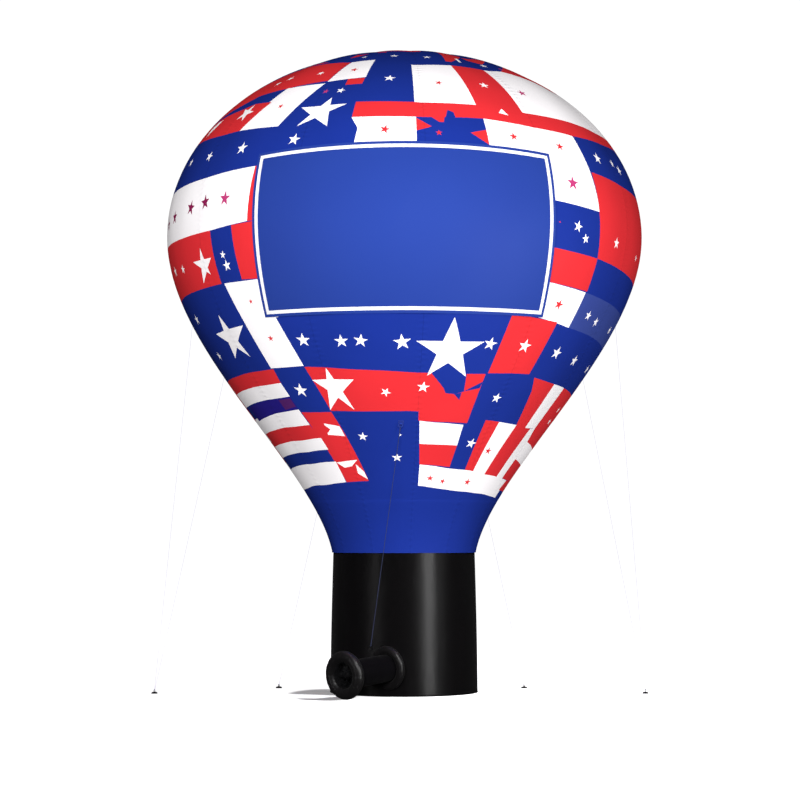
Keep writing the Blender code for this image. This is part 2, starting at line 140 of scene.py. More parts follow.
def cloth_height(tree, pitch):
    """Height of a fine grid of threads, on the piece's own cloth map in metres."""
    place = add(tree, "UVMap", uv_map="cloth").outputs["UV"]
    scale = wave_scale(pitch)
    warp = add(tree, "TexWave", {"Vector": place, "Scale": scale}, bands_direction="X").outputs["Fac"]
    weft = add(tree, "TexWave", {"Vector": place, "Scale": scale}, bands_direction="Y").outputs["Fac"]
    return add(tree, "Math", {0: warp, 1: weft}, operation="MAXIMUM").outputs[0]


def seam_share(tree, folds):
    """1 on a gore's seams and 0 in the middle of its cloth, on the gore map."""
    place = add(tree, "UVMap", uv_map="gore").outputs["UV"]
    across = add(tree, "SeparateXYZ", {"Vector": place}).outputs["X"]
    turned = add(tree, "Math", {0: across, 1: folds}, operation="MULTIPLY").outputs[0]
    tent = add(tree, "Math", {0: turned, 1: 1.0}, operation="PINGPONG").outputs[0]
    return add(tree, "MapRange", {"Value": tent, "From Min": SEAM_REACH * folds, "From Max": 0.0})


print("dyes", list(DYES))

# %% [markdown]
# On the real cloth, long seams pull short puckers across it and the air leaves wide shallow dents. Here the
# puckers are a wave that fades away from the seams and the dents are a slow noise. A faint emission in the
# dye's own colour, strongest in the white, is painted glow that lifts the cloth where the lamps leave it
# dim. The colours differ and the cloth doesn't, so one function makes a material for each dye.

# %% Printed cloth
PUCKER_PITCH, PUCKER_DEPTH = 0.055, 0.004
DENTS_PER_METRE, DENT_DEPTH = 1.1, 0.050
TONES_PER_METRE = 2.2
SEAM_LINE_START, SEAM_LINE_FULL, SEAM_LINE_TONE = 0.94, 0.99, 0.16


def printed_cloth(dye, low, high, glow):
    """Printed polyester in one dye, with a painted glow in the dye's colour whose strength is given per dye.
    """
    material, tree, shader = new_material(
        f"printed_polyester_{dye}", {"Roughness": 0.62, "Specular IOR Level": 0.15}
    )
    place = add(tree, "TexCoord").outputs["Object"]
    mottle = add(tree, "TexNoise", {"Vector": place, "Scale": TONES_PER_METRE, "Detail": 3.0}).outputs["Fac"]
    colour = add(tree, "Mix", {0: mottle, 6: linear(low), 7: linear(high)}, data_type="RGBA")
    seam = seam_share(tree, 2.0).outputs["Result"]
    line = add(
        tree,
        "MapRange",
        {"Value": seam, "From Min": SEAM_LINE_START, "From Max": SEAM_LINE_FULL, "To Max": SEAM_LINE_TONE},
    ).outputs["Result"]
    darker = add(
        tree,
        "Mix",
        {0: line, 6: colour.outputs[2], 7: linear("#0A1230")},
        data_type="RGBA",
        blend_type="MULTIPLY",
    )
    tree.links.new(darker.outputs[2], shader.inputs["Base Color"])
    # Painted glow: the cloth emits its own colour, which lifts it in shade as well as in light.
    tree.links.new(darker.outputs[2], shader.inputs["Emission Color"])
    shader.inputs["Emission Strength"].default_value = glow

    down = add(tree, "UVMap", uv_map="cloth").outputs["UV"]
    ripple = add(
        tree,
        "TexWave",
        {"Vector": down, "Scale": wave_scale(PUCKER_PITCH), "Distortion": 6.0, "Detail Scale": 0.6},
        bands_direction="Y",
    ).outputs["Fac"]
    sharp = add(tree, "Math", {0: seam, 1: 2.0}, operation="POWER").outputs[0]
    pucker = add(tree, "Math", {0: ripple, 1: sharp}, operation="MULTIPLY").outputs[0]
    dents = add(
        tree, "TexNoise", {"Vector": place, "Scale": DENTS_PER_METRE, "Detail": 2.0, "Roughness": 0.4}
    ).outputs["Fac"]
    wide = add(tree, "Bump", {"Height": dents, "Strength": 0.5, "Distance": DENT_DEPTH}).outputs["Normal"]
    short = add(
        tree, "Bump", {"Height": pucker, "Strength": 0.6, "Distance": PUCKER_DEPTH, "Normal": wide}
    ).outputs["Normal"]
    grid = cloth_height(tree, RIPSTOP_PITCH)
    fine = add(tree, "Bump", {"Height": grid, "Strength": 0.5, "Distance": THREAD_RELIEF, "Normal": short})
    tree.links.new(fine.outputs["Normal"], shader.inputs["Normal"])
    return material


PRINTS = [printed_cloth(dye, *look) for dye, look in DYES.items()]
print("printed cloths", [material.name for material in PRINTS])

# %% [markdown]
# The drum, the duct and the padded rolls are black nylon with a polyurethane coating, which gives a clear
# satin highlight. Soft creases, a third of a metre apart, and a thread grid break it up. The real threads
# are 0.4 mm apart, so the grid is drawn coarser, at 6 mm. Each of the three cloths has its own gloss.

# %% Black coated nylon
COATED_PITCH = 0.006
DUST_PER_METRE = 5.0
CREASES_PER_METRE, CREASE_DEPTH = 3.2, 0.020


def black_cloth(name, low, high, roughness, gloss, crease):
    """Coated nylon with a thread grid and soft creases."""
    material, tree, shader = new_material(
        name, {"Roughness": roughness, "Specular IOR Level": gloss, "Sheen Weight": 0.015}
    )
    place = add(tree, "TexCoord").outputs["Object"]
    dust = add(tree, "TexNoise", {"Vector": place, "Scale": DUST_PER_METRE, "Detail": 4.0}).outputs["Fac"]
    colour = add(tree, "Mix", {0: dust, 6: linear(low), 7: linear(high)}, data_type="RGBA").outputs[2]
    tree.links.new(colour, shader.inputs["Base Color"])
    folds = add(
        tree, "TexNoise", {"Vector": place, "Scale": CREASES_PER_METRE, "Detail": 2.0, "Distortion": 0.4}
    ).outputs["Fac"]
    wide = add(
        tree, "Bump", {"Height": folds, "Strength": crease, "Distance": CREASE_DEPTH}
    ).outputs["Normal"]
    grid = cloth_height(tree, COATED_PITCH)
    fine = add(tree, "Bump", {"Height": grid, "Strength": 0.35, "Distance": THREAD_RELIEF, "Normal": wide})
    tree.links.new(fine.outputs["Normal"], shader.inputs["Normal"])
    return material


DRUM_CLOTH = black_cloth("coated_nylon_black_drum", "#060506", "#090809", 0.34, 0.40, 0.10)
SLEEVE_CLOTH = black_cloth("coated_nylon_black_sleeve", "#060507", "#09080B", 0.50, 0.07, 0.15)
PAD_CLOTH = black_cloth("coated_nylon_black_padded", "#0C0B0C", "#100F10", 0.40, 0.72, 0.15)
print("black cloths", [material.name for material in (DRUM_CLOTH, SLEEVE_CLOTH, PAD_CLOTH)])

# %% [markdown]
# The straps are woven polyester, the lines at the sides and the back are braided cord, and the stitches
# are twisted thread. Two crossing waves make a twill. The real pitch is 1 to 2 mm, and it is drawn at 2 to
# 6 mm, which still shows in a close view. Of these three only the cord glows: a painted glow, a pale
# emission that keeps it evenly light on its lit and its shaded side, over a dark grey base colour.

# %% Webbing, cord and thread
BRAID_DEPTH = 0.0006


def woven_strap(name, light, dark, pitch, relief=0.6, glow=0.0):
    """Webbing, thread or braided cord: two crossing twills, and a painted glow when glow is given."""
    material, tree, shader = new_material(
        name, {"Roughness": 0.72, "Sheen Weight": 0.1, "Emission Strength": glow}
    )
    place = add(tree, "TexCoord").outputs["Object"]
    scale = wave_scale(pitch)
    left = add(tree, "TexWave", {"Vector": place, "Scale": scale}, bands_direction="DIAGONAL").outputs["Fac"]
    right = add(tree, "TexWave", {"Vector": place, "Scale": scale}, bands_direction="Z").outputs["Fac"]
    braid = add(tree, "Math", {0: left, 1: right}, operation="MULTIPLY").outputs[0]
    colour = add(tree, "Mix", {0: braid, 6: linear(dark), 7: linear(light)}, data_type="RGBA").outputs[2]
    tree.links.new(colour, shader.inputs["Base Color"])
    # Painted glow: a pale emission in the braid's pattern, so the cord looks evenly lit from any side.
    if glow:
        painted_glow_tone = add(tree, "Mix", {0: braid, 6: linear("#E4E2F0"), 7: linear("#F4F2FD")}, data_type="RGBA")
        tree.links.new(painted_glow_tone.outputs[2], shader.inputs["Emission Color"])
    bump = add(
        tree, "Bump", {"Height": braid, "Strength": relief, "Distance": BRAID_DEPTH}
    ).outputs["Normal"]
    tree.links.new(bump, shader.inputs["Normal"])
    return material


STRAP = woven_strap("woven_polyester_webbing_blue", "#1B3390", "#152A7C", 0.004)
DARK_STRAP = woven_strap("woven_polyester_webbing_black", "#1A1A1C", "#0A0A0B", 0.004)
# The cord's base colour is dark grey; its pale look is the painted glow.
CORD = woven_strap("braided_polyester_cord_white", "#5A5964", "#484752", 0.006, relief=0.0, glow=0.82)
THREAD = woven_strap("twisted_polyester_thread_blue", "#2C449C", "#22388C", 0.002)
print("woven finishes", [material.name for material in (STRAP, DARK_STRAP, CORD, THREAD)])

# %% [markdown]
# The blower is moulded polypropylene with a fine grain. Its guard is steel wire with powder coating,
# whose orange peel is about 1.5 mm. The D-rings on the envelope are steel with a blue nylon coating, the
# zip has zinc plated teeth, and the front line is drawn nylon. Each of them is a little paler where it is
# rubbed.

# %% Plastic and coated steel
RUBS_PER_METRE = 22.0
PEEL_DEPTH = 0.0004


def hard_finish(name, colour, worn, grain, sockets):
    """Moulded plastic or coated steel: a fine grain, and a paler tone where it is rubbed."""
    material, tree, shader = new_material(name, sockets)
    place = add(tree, "TexCoord").outputs["Object"]
    rub = add(tree, "TexNoise", {"Vector": place, "Scale": RUBS_PER_METRE, "Detail": 5.0}).outputs["Fac"]
    share = add(tree, "MapRange", {"Value": rub, "From Min": 0.52, "From Max": 0.75}).outputs["Result"]
    tone = add(tree, "Mix", {0: share, 6: linear(colour), 7: linear(worn)}, data_type="RGBA").outputs[2]
    tree.links.new(tone, shader.inputs["Base Color"])
    peel = add(tree, "TexNoise", {"Vector": place, "Scale": 1.0 / grain, "Detail": 2.0}).outputs["Fac"]
    bump = add(tree, "Bump", {"Height": peel, "Strength": 0.25, "Distance": PEEL_DEPTH}).outputs["Normal"]
    tree.links.new(bump, shader.inputs["Normal"])
    return material


PLASTIC = hard_finish("moulded_polypropylene_black", "#101011", "#1C1C1E", 0.002, {"Roughness": 0.42})
STEEL = hard_finish(
    "powder_coated_steel_black", "#0E0E0F", "#18181A", 0.0015, {"Roughness": 0.5, "Specular IOR Level": 0.25}
)
ZINC = hard_finish(
    "zinc_plated_steel_wire", "#9A9C9E", "#B8BABC", 0.001, {"Roughness": 0.45, "Metallic": 0.4}
)
COATED = hard_finish("nylon_coated_steel_blue", "#1B3390", "#24409A", 0.0015, {"Roughness": 0.5})
SLATE_LINE = hard_finish("drawn_nylon_line_slate", "#343A58", "#3A4160", 0.002, {"Roughness": 0.5})
print("finishes", len(bpy.data.materials))

# %% [markdown]
# A piece is finished in the same few steps every time: the bmesh becomes a mesh, its faces are shaded
# smooth with sharp edges kept, it gets its materials, it rides on a body, and the CAD nodes it stands for
# are hidden.

# %% Helpers for pieces
SHARP_ANGLE = 38.0


def piece_from(bm, name, materials, nodes, body="root"):
    """Turns a bmesh into a finished piece that stands for CAD nodes."""
    mesh = bpy.data.meshes.new(name)
    bm.to_mesh(mesh)
    bm.free()
    for material in materials:
        mesh.materials.append(material)
    mesh.shade_smooth()
    mesh.set_sharp_from_angle(angle=math.radians(SHARP_ANGLE))
    piece = bpy.data.objects.new(name, mesh)
    bpy.context.scene.collection.objects.link(piece)
    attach(piece, body)
    if nodes:
        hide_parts(*nodes)
    return piece


def turned(profile, steps, closed=True):
    """A bmesh of a line of (radius, height) points, turned once round the Z axis."""
    bm = bmesh.new()
    line = [bm.verts.new((radius, 0.0, height)) for radius, height in profile]
    pairs = list(zip(line, line[1:]))
    if closed:
        pairs.append((line[-1], line[0]))
    edges = [bm.edges.new(pair) for pair in pairs]
    bmesh.ops.spin(
        bm, geom=line + edges, cent=(0, 0, 0), axis=(0, 0, 1), angle=math.tau, steps=steps, use_merge=True
    )
    bmesh.ops.remove_doubles(bm, verts=bm.verts, dist=0.00001)
    bmesh.ops.recalc_face_normals(bm, faces=bm.faces)
    return bm


def round_map(bm, radius, along=None):
    """A cloth map in metres for a turned piece: round the Z axis, and along its height or a measure."""
    layer = bm.loops.layers.uv.new("cloth")
    for face in bm.faces:
        middle = face.calc_center_median()
        turn = math.atan2(middle.y, middle.x)
        back = Matrix.Rotation(-turn, 3, "Z")
        for loop in face.loops:
            spot = back @ loop.vert.co
            height = along(loop.vert.co) if along else loop.vert.co.z
            loop[layer].uv = ((turn + math.atan2(spot.y, max(spot.x, 1e-6))) * radius, height)


def count(piece):
    """A piece's name and number of faces, to print."""
    return piece.name, len(piece.data.polygons)


print("sharp edges are those over", SHARP_ANGLE, "degrees")

# %% [markdown]
# Pieces are often put together from smaller shapes. These helpers join one bmesh into another, round the
# edges of a shape, give a piece's later faces another finish, and turn an open skin's faces outwards.

# %% Helpers for joining shapes


def join_in(bm, part):
    """Adds a small bmesh to a piece's bmesh."""
    mesh = bpy.data.meshes.new("part")
    part.to_mesh(mesh)
    part.free()
    bm.from_mesh(mesh)
    bpy.data.meshes.remove(mesh)


def soften(bm, made, reach):
    """Rounds the edges of a shape that was just made."""
    edges = dict.fromkeys(edge for vert in made["verts"] for edge in vert.link_edges)
    bmesh.ops.bevel(
        bm, geom=[*edges], offset=reach, segments=2, profile=0.5, affect="EDGES", material=-1
    )


def finish_from(bm, start, finish):
    """Gives the faces from a count on another of the piece's materials."""
    bm.faces.ensure_lookup_table()
    for face in bm.faces[start:]:
        face.material_index = finish


def face_outwards(bm):
    """Turns the faces of an open skin round the Z axis, if they point inwards."""
    if sum(face.normal.dot(face.calc_center_median()) for face in bm.faces) < 0.0:
        bmesh.ops.reverse_faces(bm, faces=bm.faces)


# %% [markdown]
# The balloon's outline is half an ellipse above its widest line, and one cubic curve from there to the
# top of the drum, with the same values as the CAD. Cloth is measured along its own length, so the outline
# is first sampled into a table of metres down from the crown. A place on the balloon is then an azimuth,
# counted from the front towards the right, and a distance down the cloth.

# %% The outline of the envelope
CROWN_HEIGHT = 6.096
EQUATOR = Vector((2.270, 4.310))
WAIST_TOP = EQUATOR - Vector((0.0, 1.042))
NECK = Vector((0.684, 1.325))
WAIST_LOW = NECK + 0.807 * Vector((0.206, 1.0))
SAMPLES = 240


def outline_point(share):
    """A point of the outline, from the crown at 0 through the equator at 1 to the neck at 2."""
    if share <= 1.0:
        turn = math.radians(90.0 * (1.0 - share))
        rise = (CROWN_HEIGHT - EQUATOR.y) * math.sin(turn)
        return Vector((EQUATOR.x * math.cos(turn), EQUATOR.y + rise))
    low = share - 1.0
    rest = 2.0 - share
    handles = 3 * rest**2 * low * WAIST_TOP + 3 * rest * low**2 * WAIST_LOW
    return rest**3 * EQUATOR + handles + low**3 * NECK


POINTS = [outline_point(2.0 * step / SAMPLES) for step in range(SAMPLES + 1)]
LENGTHS = [0.0]
for before, after in zip(POINTS, POINTS[1:]):
    LENGTHS.append(LENGTHS[-1] + (after - before).length)
CLOTH_LENGTH = LENGTHS[-1]


def on_outline(down):
    """Radius and height of the place some metres down the cloth, and the outward direction there."""
    down = min(max(down, 0.0), CLOTH_LENGTH - 1e-6)
    step = max(1, bisect_left(LENGTHS, down))
    share = (down - LENGTHS[step - 1]) / (LENGTHS[step] - LENGTHS[step - 1])
    before, after = POINTS[step - 1], POINTS[step]
    along = (after - before).normalized()
    return before.lerp(after, share), Vector((-along.y, along.x))


def metres_down(height):
    """How far down the cloth the envelope's skin has a height."""
    step = next(i for i, point in enumerate(POINTS) if point.y <= height)
    before, after = POINTS[step - 1], POINTS[step]
    share = (before.y - height) / (before.y - after.y)
    return LENGTHS[step - 1] + share * (LENGTHS[step] - LENGTHS[step - 1])


def on_skin(azimuth, down, lift=0.0):
    """The point of the envelope at an azimuth in degrees and some metres down, lifted off it."""
    spot, out = on_outline(down)
    turn = math.radians(azimuth)
    radius = spot.x + lift * out.x
    return Vector((radius * math.sin(turn), -radius * math.cos(turn), spot.y + lift * out.y))


print("cloth from crown to neck", round(CLOTH_LENGTH, 3), "m")

# %% [markdown]
# The print is a patchwork: blocks of blue, red, white and a few striped fields, with white stars on the
# colours and red or pink stars on the white. On the real envelope each gore is printed flat, cut out and
# sewn. The same order works here: a flat grid is cut with straight lines, the pieces are dyed, and only
# then is it wrapped onto the outline. That keeps every edge of the print sharp, with no picture.
#
# Each row below is a dye and the corners of a block, as azimuth in degrees and metres down from the
# crown. They cover a bit more than the front half, and the back repeats them, turned by half a turn.

# %% The patchwork
PATCHES = [
    ("white", (-84, 0.45), (-48, 0.45), (-48, 0.88), (-84, 0.88)),
    ("red", (-20, 0.42), (12, 0.42), (12, 0.80), (-20, 0.80)),
    ("red", (-28.7, 0.90), (-20, 0.90), (-23, 0.97), (-27.8, 1.16)),
    ("red", (-16.2, 0.85), (-10.9, 0.85), (-10.9, 0.92), (-16.2, 0.89)),
    (
        "red",
        (-66.1, 1.58),
        (-56.7, 1.25),
        (-41.7, 1.16),
        (-23.3, 1.27),
        (-25.5, 1.70),
        (-39.9, 1.78),
        (-53.4, 1.80),
    ),
    ("red", (-84, 1.60), (-66, 1.58), (-53.4, 1.80), (-60.5, 1.92), (-84, 2.20)),
    ("blue", (-49.1, 1.24), (-26.5, 1.25), (-27.8, 1.16)),
    ("white", (-22.9, 1.27), (-12.3, 1.26), (-12.4, 1.70), (-25.5, 1.72)),
    ("red", (-18.3, 1.71), (-12.6, 1.71), (-12.8, 1.82), (-18.2, 1.82)),
    ("white", (-39.9, 1.78), (-25.8, 1.75), (-33.6, 2.34), (-47.6, 2.32)),
    ("red", (-84, 2.20), (-66.4, 2.05), (-49.6, 1.95), (-41.6, 1.98), (-47.6, 2.32), (-84, 2.31)),
    ("red", (22.4, 0.77), (33, 0.98), (20.1, 1.30), (17.7, 1.29)),
    ("red", (30.6, 1.05), (50.1, 0.99), (37.4, 1.23), (31.1, 1.16)),
    ("red", (52.1, 1.19), (84, 1.30), (84, 1.70), (46, 1.50), (41.4, 1.41)),
    ("white", (2.8, 1.41), (18.3, 1.41), (19.6, 2.13), (2.8, 2.11)),
    ("red", (18.3, 1.41), (32, 1.44), (33.5, 2.16), (19.6, 2.13)),
    ("white", (32, 1.44), (41.4, 1.41), (46.8, 2.19), (33.5, 2.16)),
    ("white", (41.4, 1.41), (55.3, 1.52), (84, 1.76), (84, 2.27), (46.8, 2.19)),
    ("red", (-13, 2.10), (2.8, 2.11), (3, 2.30), (-13.2, 2.30)),
    ("red", (2.8, 2.11), (20.1, 2.13), (20.1, 2.30), (3, 2.30)),
    ("red", (20.1, 2.13), (33.5, 2.16), (33.5, 2.34), (20.1, 2.30)),
    ("red", (33.5, 2.16), (75, 2.25), (75.4, 2.37), (47.9, 2.38), (33.5, 2.34)),
    ("red", (75, 2.25), (84, 2.27), (84, 2.50), (75.4, 2.37)),
    ("white", (-13.3, 2.30), (3, 2.30), (3, 2.43), (-11.3, 2.43)),
    ("white", (-11.3, 2.43), (3, 2.43), (3, 2.62), (-11.8, 2.62)),
    ("red", (6.9, 2.30), (8.8, 2.36), (9.9, 2.36), (10.2, 2.30)),
    ("blue", (10, 2.36), (11.3, 2.21), (12.8, 2.24), (13.1, 2.31)),
    ("red", (3, 2.31), (6.8, 2.41), (3, 2.46)),
    ("red", (16.2, 2.47), (20.4, 2.43), (20.3, 2.59)),
    ("white", (20.4, 2.30), (47.9, 2.38), (49.5, 2.75), (34, 2.75), (20.4, 2.64)),
    ("white", (34, 2.70), (49.5, 2.75), (50.8, 3.12), (34, 3.06)),
    ("red", (50, 2.75), (84, 2.88), (84, 3.68), (51.4, 3.54)),
    ("red", (34, 3.48), (51.4, 3.54), (50.9, 3.85), (34, 3.79)),
    ("white", (34, 3.79), (50.5, 3.86), (49.2, 4.21), (34, 4.12)),
    ("pale", (50.5, 3.86), (84, 4.00), (84, 4.35), (49.2, 4.21)),
    ("red", (28.6, 4.12), (44, 4.17), (42, 4.71), (26.4, 4.72)),
    ("white", (-84, 2.83), (-36.7, 2.75), (-37.6, 3.25), (-50.3, 3.29), (-84, 3.32)),
    ("red", (-36.7, 2.75), (-34, 2.75), (-34, 3.25), (-37.6, 3.25)),
    ("red", (-84, 3.32), (-50.3, 3.29), (-49.8, 3.78), (-84, 3.84)),
    ("red", (-42.6, 3.27), (-34, 3.25), (-34, 3.77), (-41.9, 3.76)),
    ("white", (-48.7, 3.78), (-34, 3.77), (-34, 4.14), (-46.5, 4.14)),
    ("white", (-46.5, 4.14), (-34.9, 4.13), (-31.2, 4.64), (-44, 4.64)),
    ("red", (-31.1, 4.65), (4.5, 4.73), (5.4, 5.14), (-27.1, 5.12)),
    ("red", (4.5, 4.73), (25.7, 4.73), (24.5, 5.25), (5.4, 5.24)),
    ("blue", (7.4, 4.70), (19.3, 4.70), (19.9, 4.92), (12.9, 4.89)),
    ("blue", (12.9, 4.89), (19.9, 4.92), (16.7, 4.95), (13.7, 4.94)),
    ("blue", (16.7, 4.95), (19.2, 4.93), (19, 5.01)),
    ("blue", (19.7, 4.92), (25.6, 4.81), (25.1, 4.88)),
    ("red", (-40, 5.12), (-27.2, 5.13), (-18.8, 5.89), (-32, 5.90)),
    ("white", (-32, 5.25), (-25.8, 5.29), (-24.8, 5.40), (-32.2, 5.38)),
    ("red", (-32.4, 5.26), (-30.2, 5.32), (-32.5, 5.37)),
    ("white", (-63.8, 2.07), (-65, 2.16), (-67.8, 2.27), (-68.6, 2.16), (-66.5, 2.09)),
    ("white", (24.5, 1.15), (26.1, 1.14), (24.9, 1.29), (24, 1.27)),
    ("white", (25.5, 2.21), (26.9, 2.15), (28.3, 2.23)),
    ("white", (-33.6, 5.68), (-22.2, 5.66), (-26, 5.73), (-30.1, 5.74)),
    ("white", (-23.6, 5.71), (-20.2, 5.79), (-19.1, 5.87), (-23.8, 5.81)),
    ("white", (5.8, 5.24), (23.2, 5.27), (23.1, 5.50), (6.5, 5.49)),
    ("red", (6.5, 5.49), (23.1, 5.50), (22.5, 5.73), (7.3, 5.71)),
    ("white", (7.4, 5.71), (27.4, 5.76), (27, 5.99), (7.6, 5.94)),
    ("white", (27.4, 5.76), (50.6, 5.81), (50.5, 6.02), (27, 5.99)),
    ("white", (50.6, 5.81), (71.9, 5.86), (70.6, 6.06), (50.5, 6.02)),
    ("red", (71.9, 5.86), (84, 5.88), (84, 5.99), (69.3, 5.97)),
    ("red", (32.3, 5.22), (39, 5.23), (36.8, 5.78), (31.5, 5.77)),
    ("white", (39, 5.23), (48.8, 5.26), (45.2, 5.80), (36.8, 5.78)),
    ("red", (44.9, 4.74), (57.3, 4.79), (56.9, 4.90), (46.9, 4.88)),
    ("red", (46.9, 4.88), (56.9, 4.90), (55.6, 5.28), (48.8, 5.26)),
    ("red", (48.8, 5.26), (60.3, 5.29), (56.5, 5.83), (45.2, 5.80)),
    ("white", (57.3, 4.79), (66.5, 4.82), (64.8, 5.29), (55.6, 5.28)),
    ("red", (66.5, 4.82), (84, 4.87), (84, 5.50), (66.3, 5.44), (64.8, 5.29)),
    ("white", (60.3, 5.29), (64.8, 5.29), (66.3, 5.44), (65.8, 5.63), (64, 5.84), (56.5, 5.83)),
    ("white", (66.3, 5.44), (84, 5.50), (84, 5.69), (65.8, 5.63)),
    ("red", (65.8, 5.63), (84, 5.69), (84, 5.88), (64, 5.84)),
]

# %% [markdown]
# Five stripes run round the left side, the fill under the banner shows only at the back, where there is
# no banner, and a column of upright blocks joins the front's print to the back's. Each is a short list
# for a loop.

# %% Stripes, fill and side column
STRIPES = (
    ("red", -43.2, 4.65, -42.9, 4.80),
    ("white", -42.9, 4.80, -41.8, 4.95),
    ("white", -40.7, 5.09, -38.9, 5.26),
    ("red", -38.9, 5.26, -36.3, 5.41),
    ("white", -36.3, 5.41, -35.1, 5.54),
    ("white", -33.8, 5.67, -32.4, 5.90),
)
SIDE = 84
STRIPE_DROP = 0.07
for dye, upper_end, upper, lower_end, lower in STRIPES:
    far = (-SIDE, lower + STRIPE_DROP), (-SIDE, upper + STRIPE_DROP)
    PATCHES.append((dye, (upper_end, upper), (lower_end, lower), *far))
PATCHES.append(("violet", (-74, 5.02), (-41.8, 4.95), (-40.7, 5.09), (-74, 5.18)))
PATCHES.append(("plum", (-48.5, 4.98), (-42.1, 4.97), (-41.4, 5.06), (-47.6, 5.09)))

FILL = (
    ("white", -36, -14, 2.66, 3.25),
    ("red", -14, 10, 2.62, 3.18),
    ("white", -12, 14, 3.18, 3.68),
    ("red", -34, -12, 3.68, 4.10),
    ("white", 14, 34, 3.79, 4.10),
)
SIDE_COLUMN = (
    ("white", 0.95, 1.60),
    ("blue", 1.60, 2.30),
    ("red", 2.30, 2.85),
    ("blue", 2.85, 3.35),
    ("red", 3.35, 3.86),
    ("blue", 3.86, 4.72),
    ("red", 4.72, 5.17),
    ("white", 5.17, 5.42),
    ("red", 5.42, 5.66),
    ("white", 5.66, 6.00),
)
COLUMNS = [(dye, SIDE, 180 - SIDE, upper, lower) for dye, upper, lower in SIDE_COLUMN]
for dye, left, right, upper, lower in (*FILL, *COLUMNS):
    PATCHES.append((dye, (left, upper), (right, upper), (right, lower), (left, lower)))
print("patches", len(PATCHES))

# %% [markdown]
# The stars are five-pointed. The big ones lean and stretch in their own ways, so each is a row of a dye
# and its five points, in the same measure as the blocks. The small ones are regular: a dye, the star's
# place, its radius in metres and its tilt in degrees.

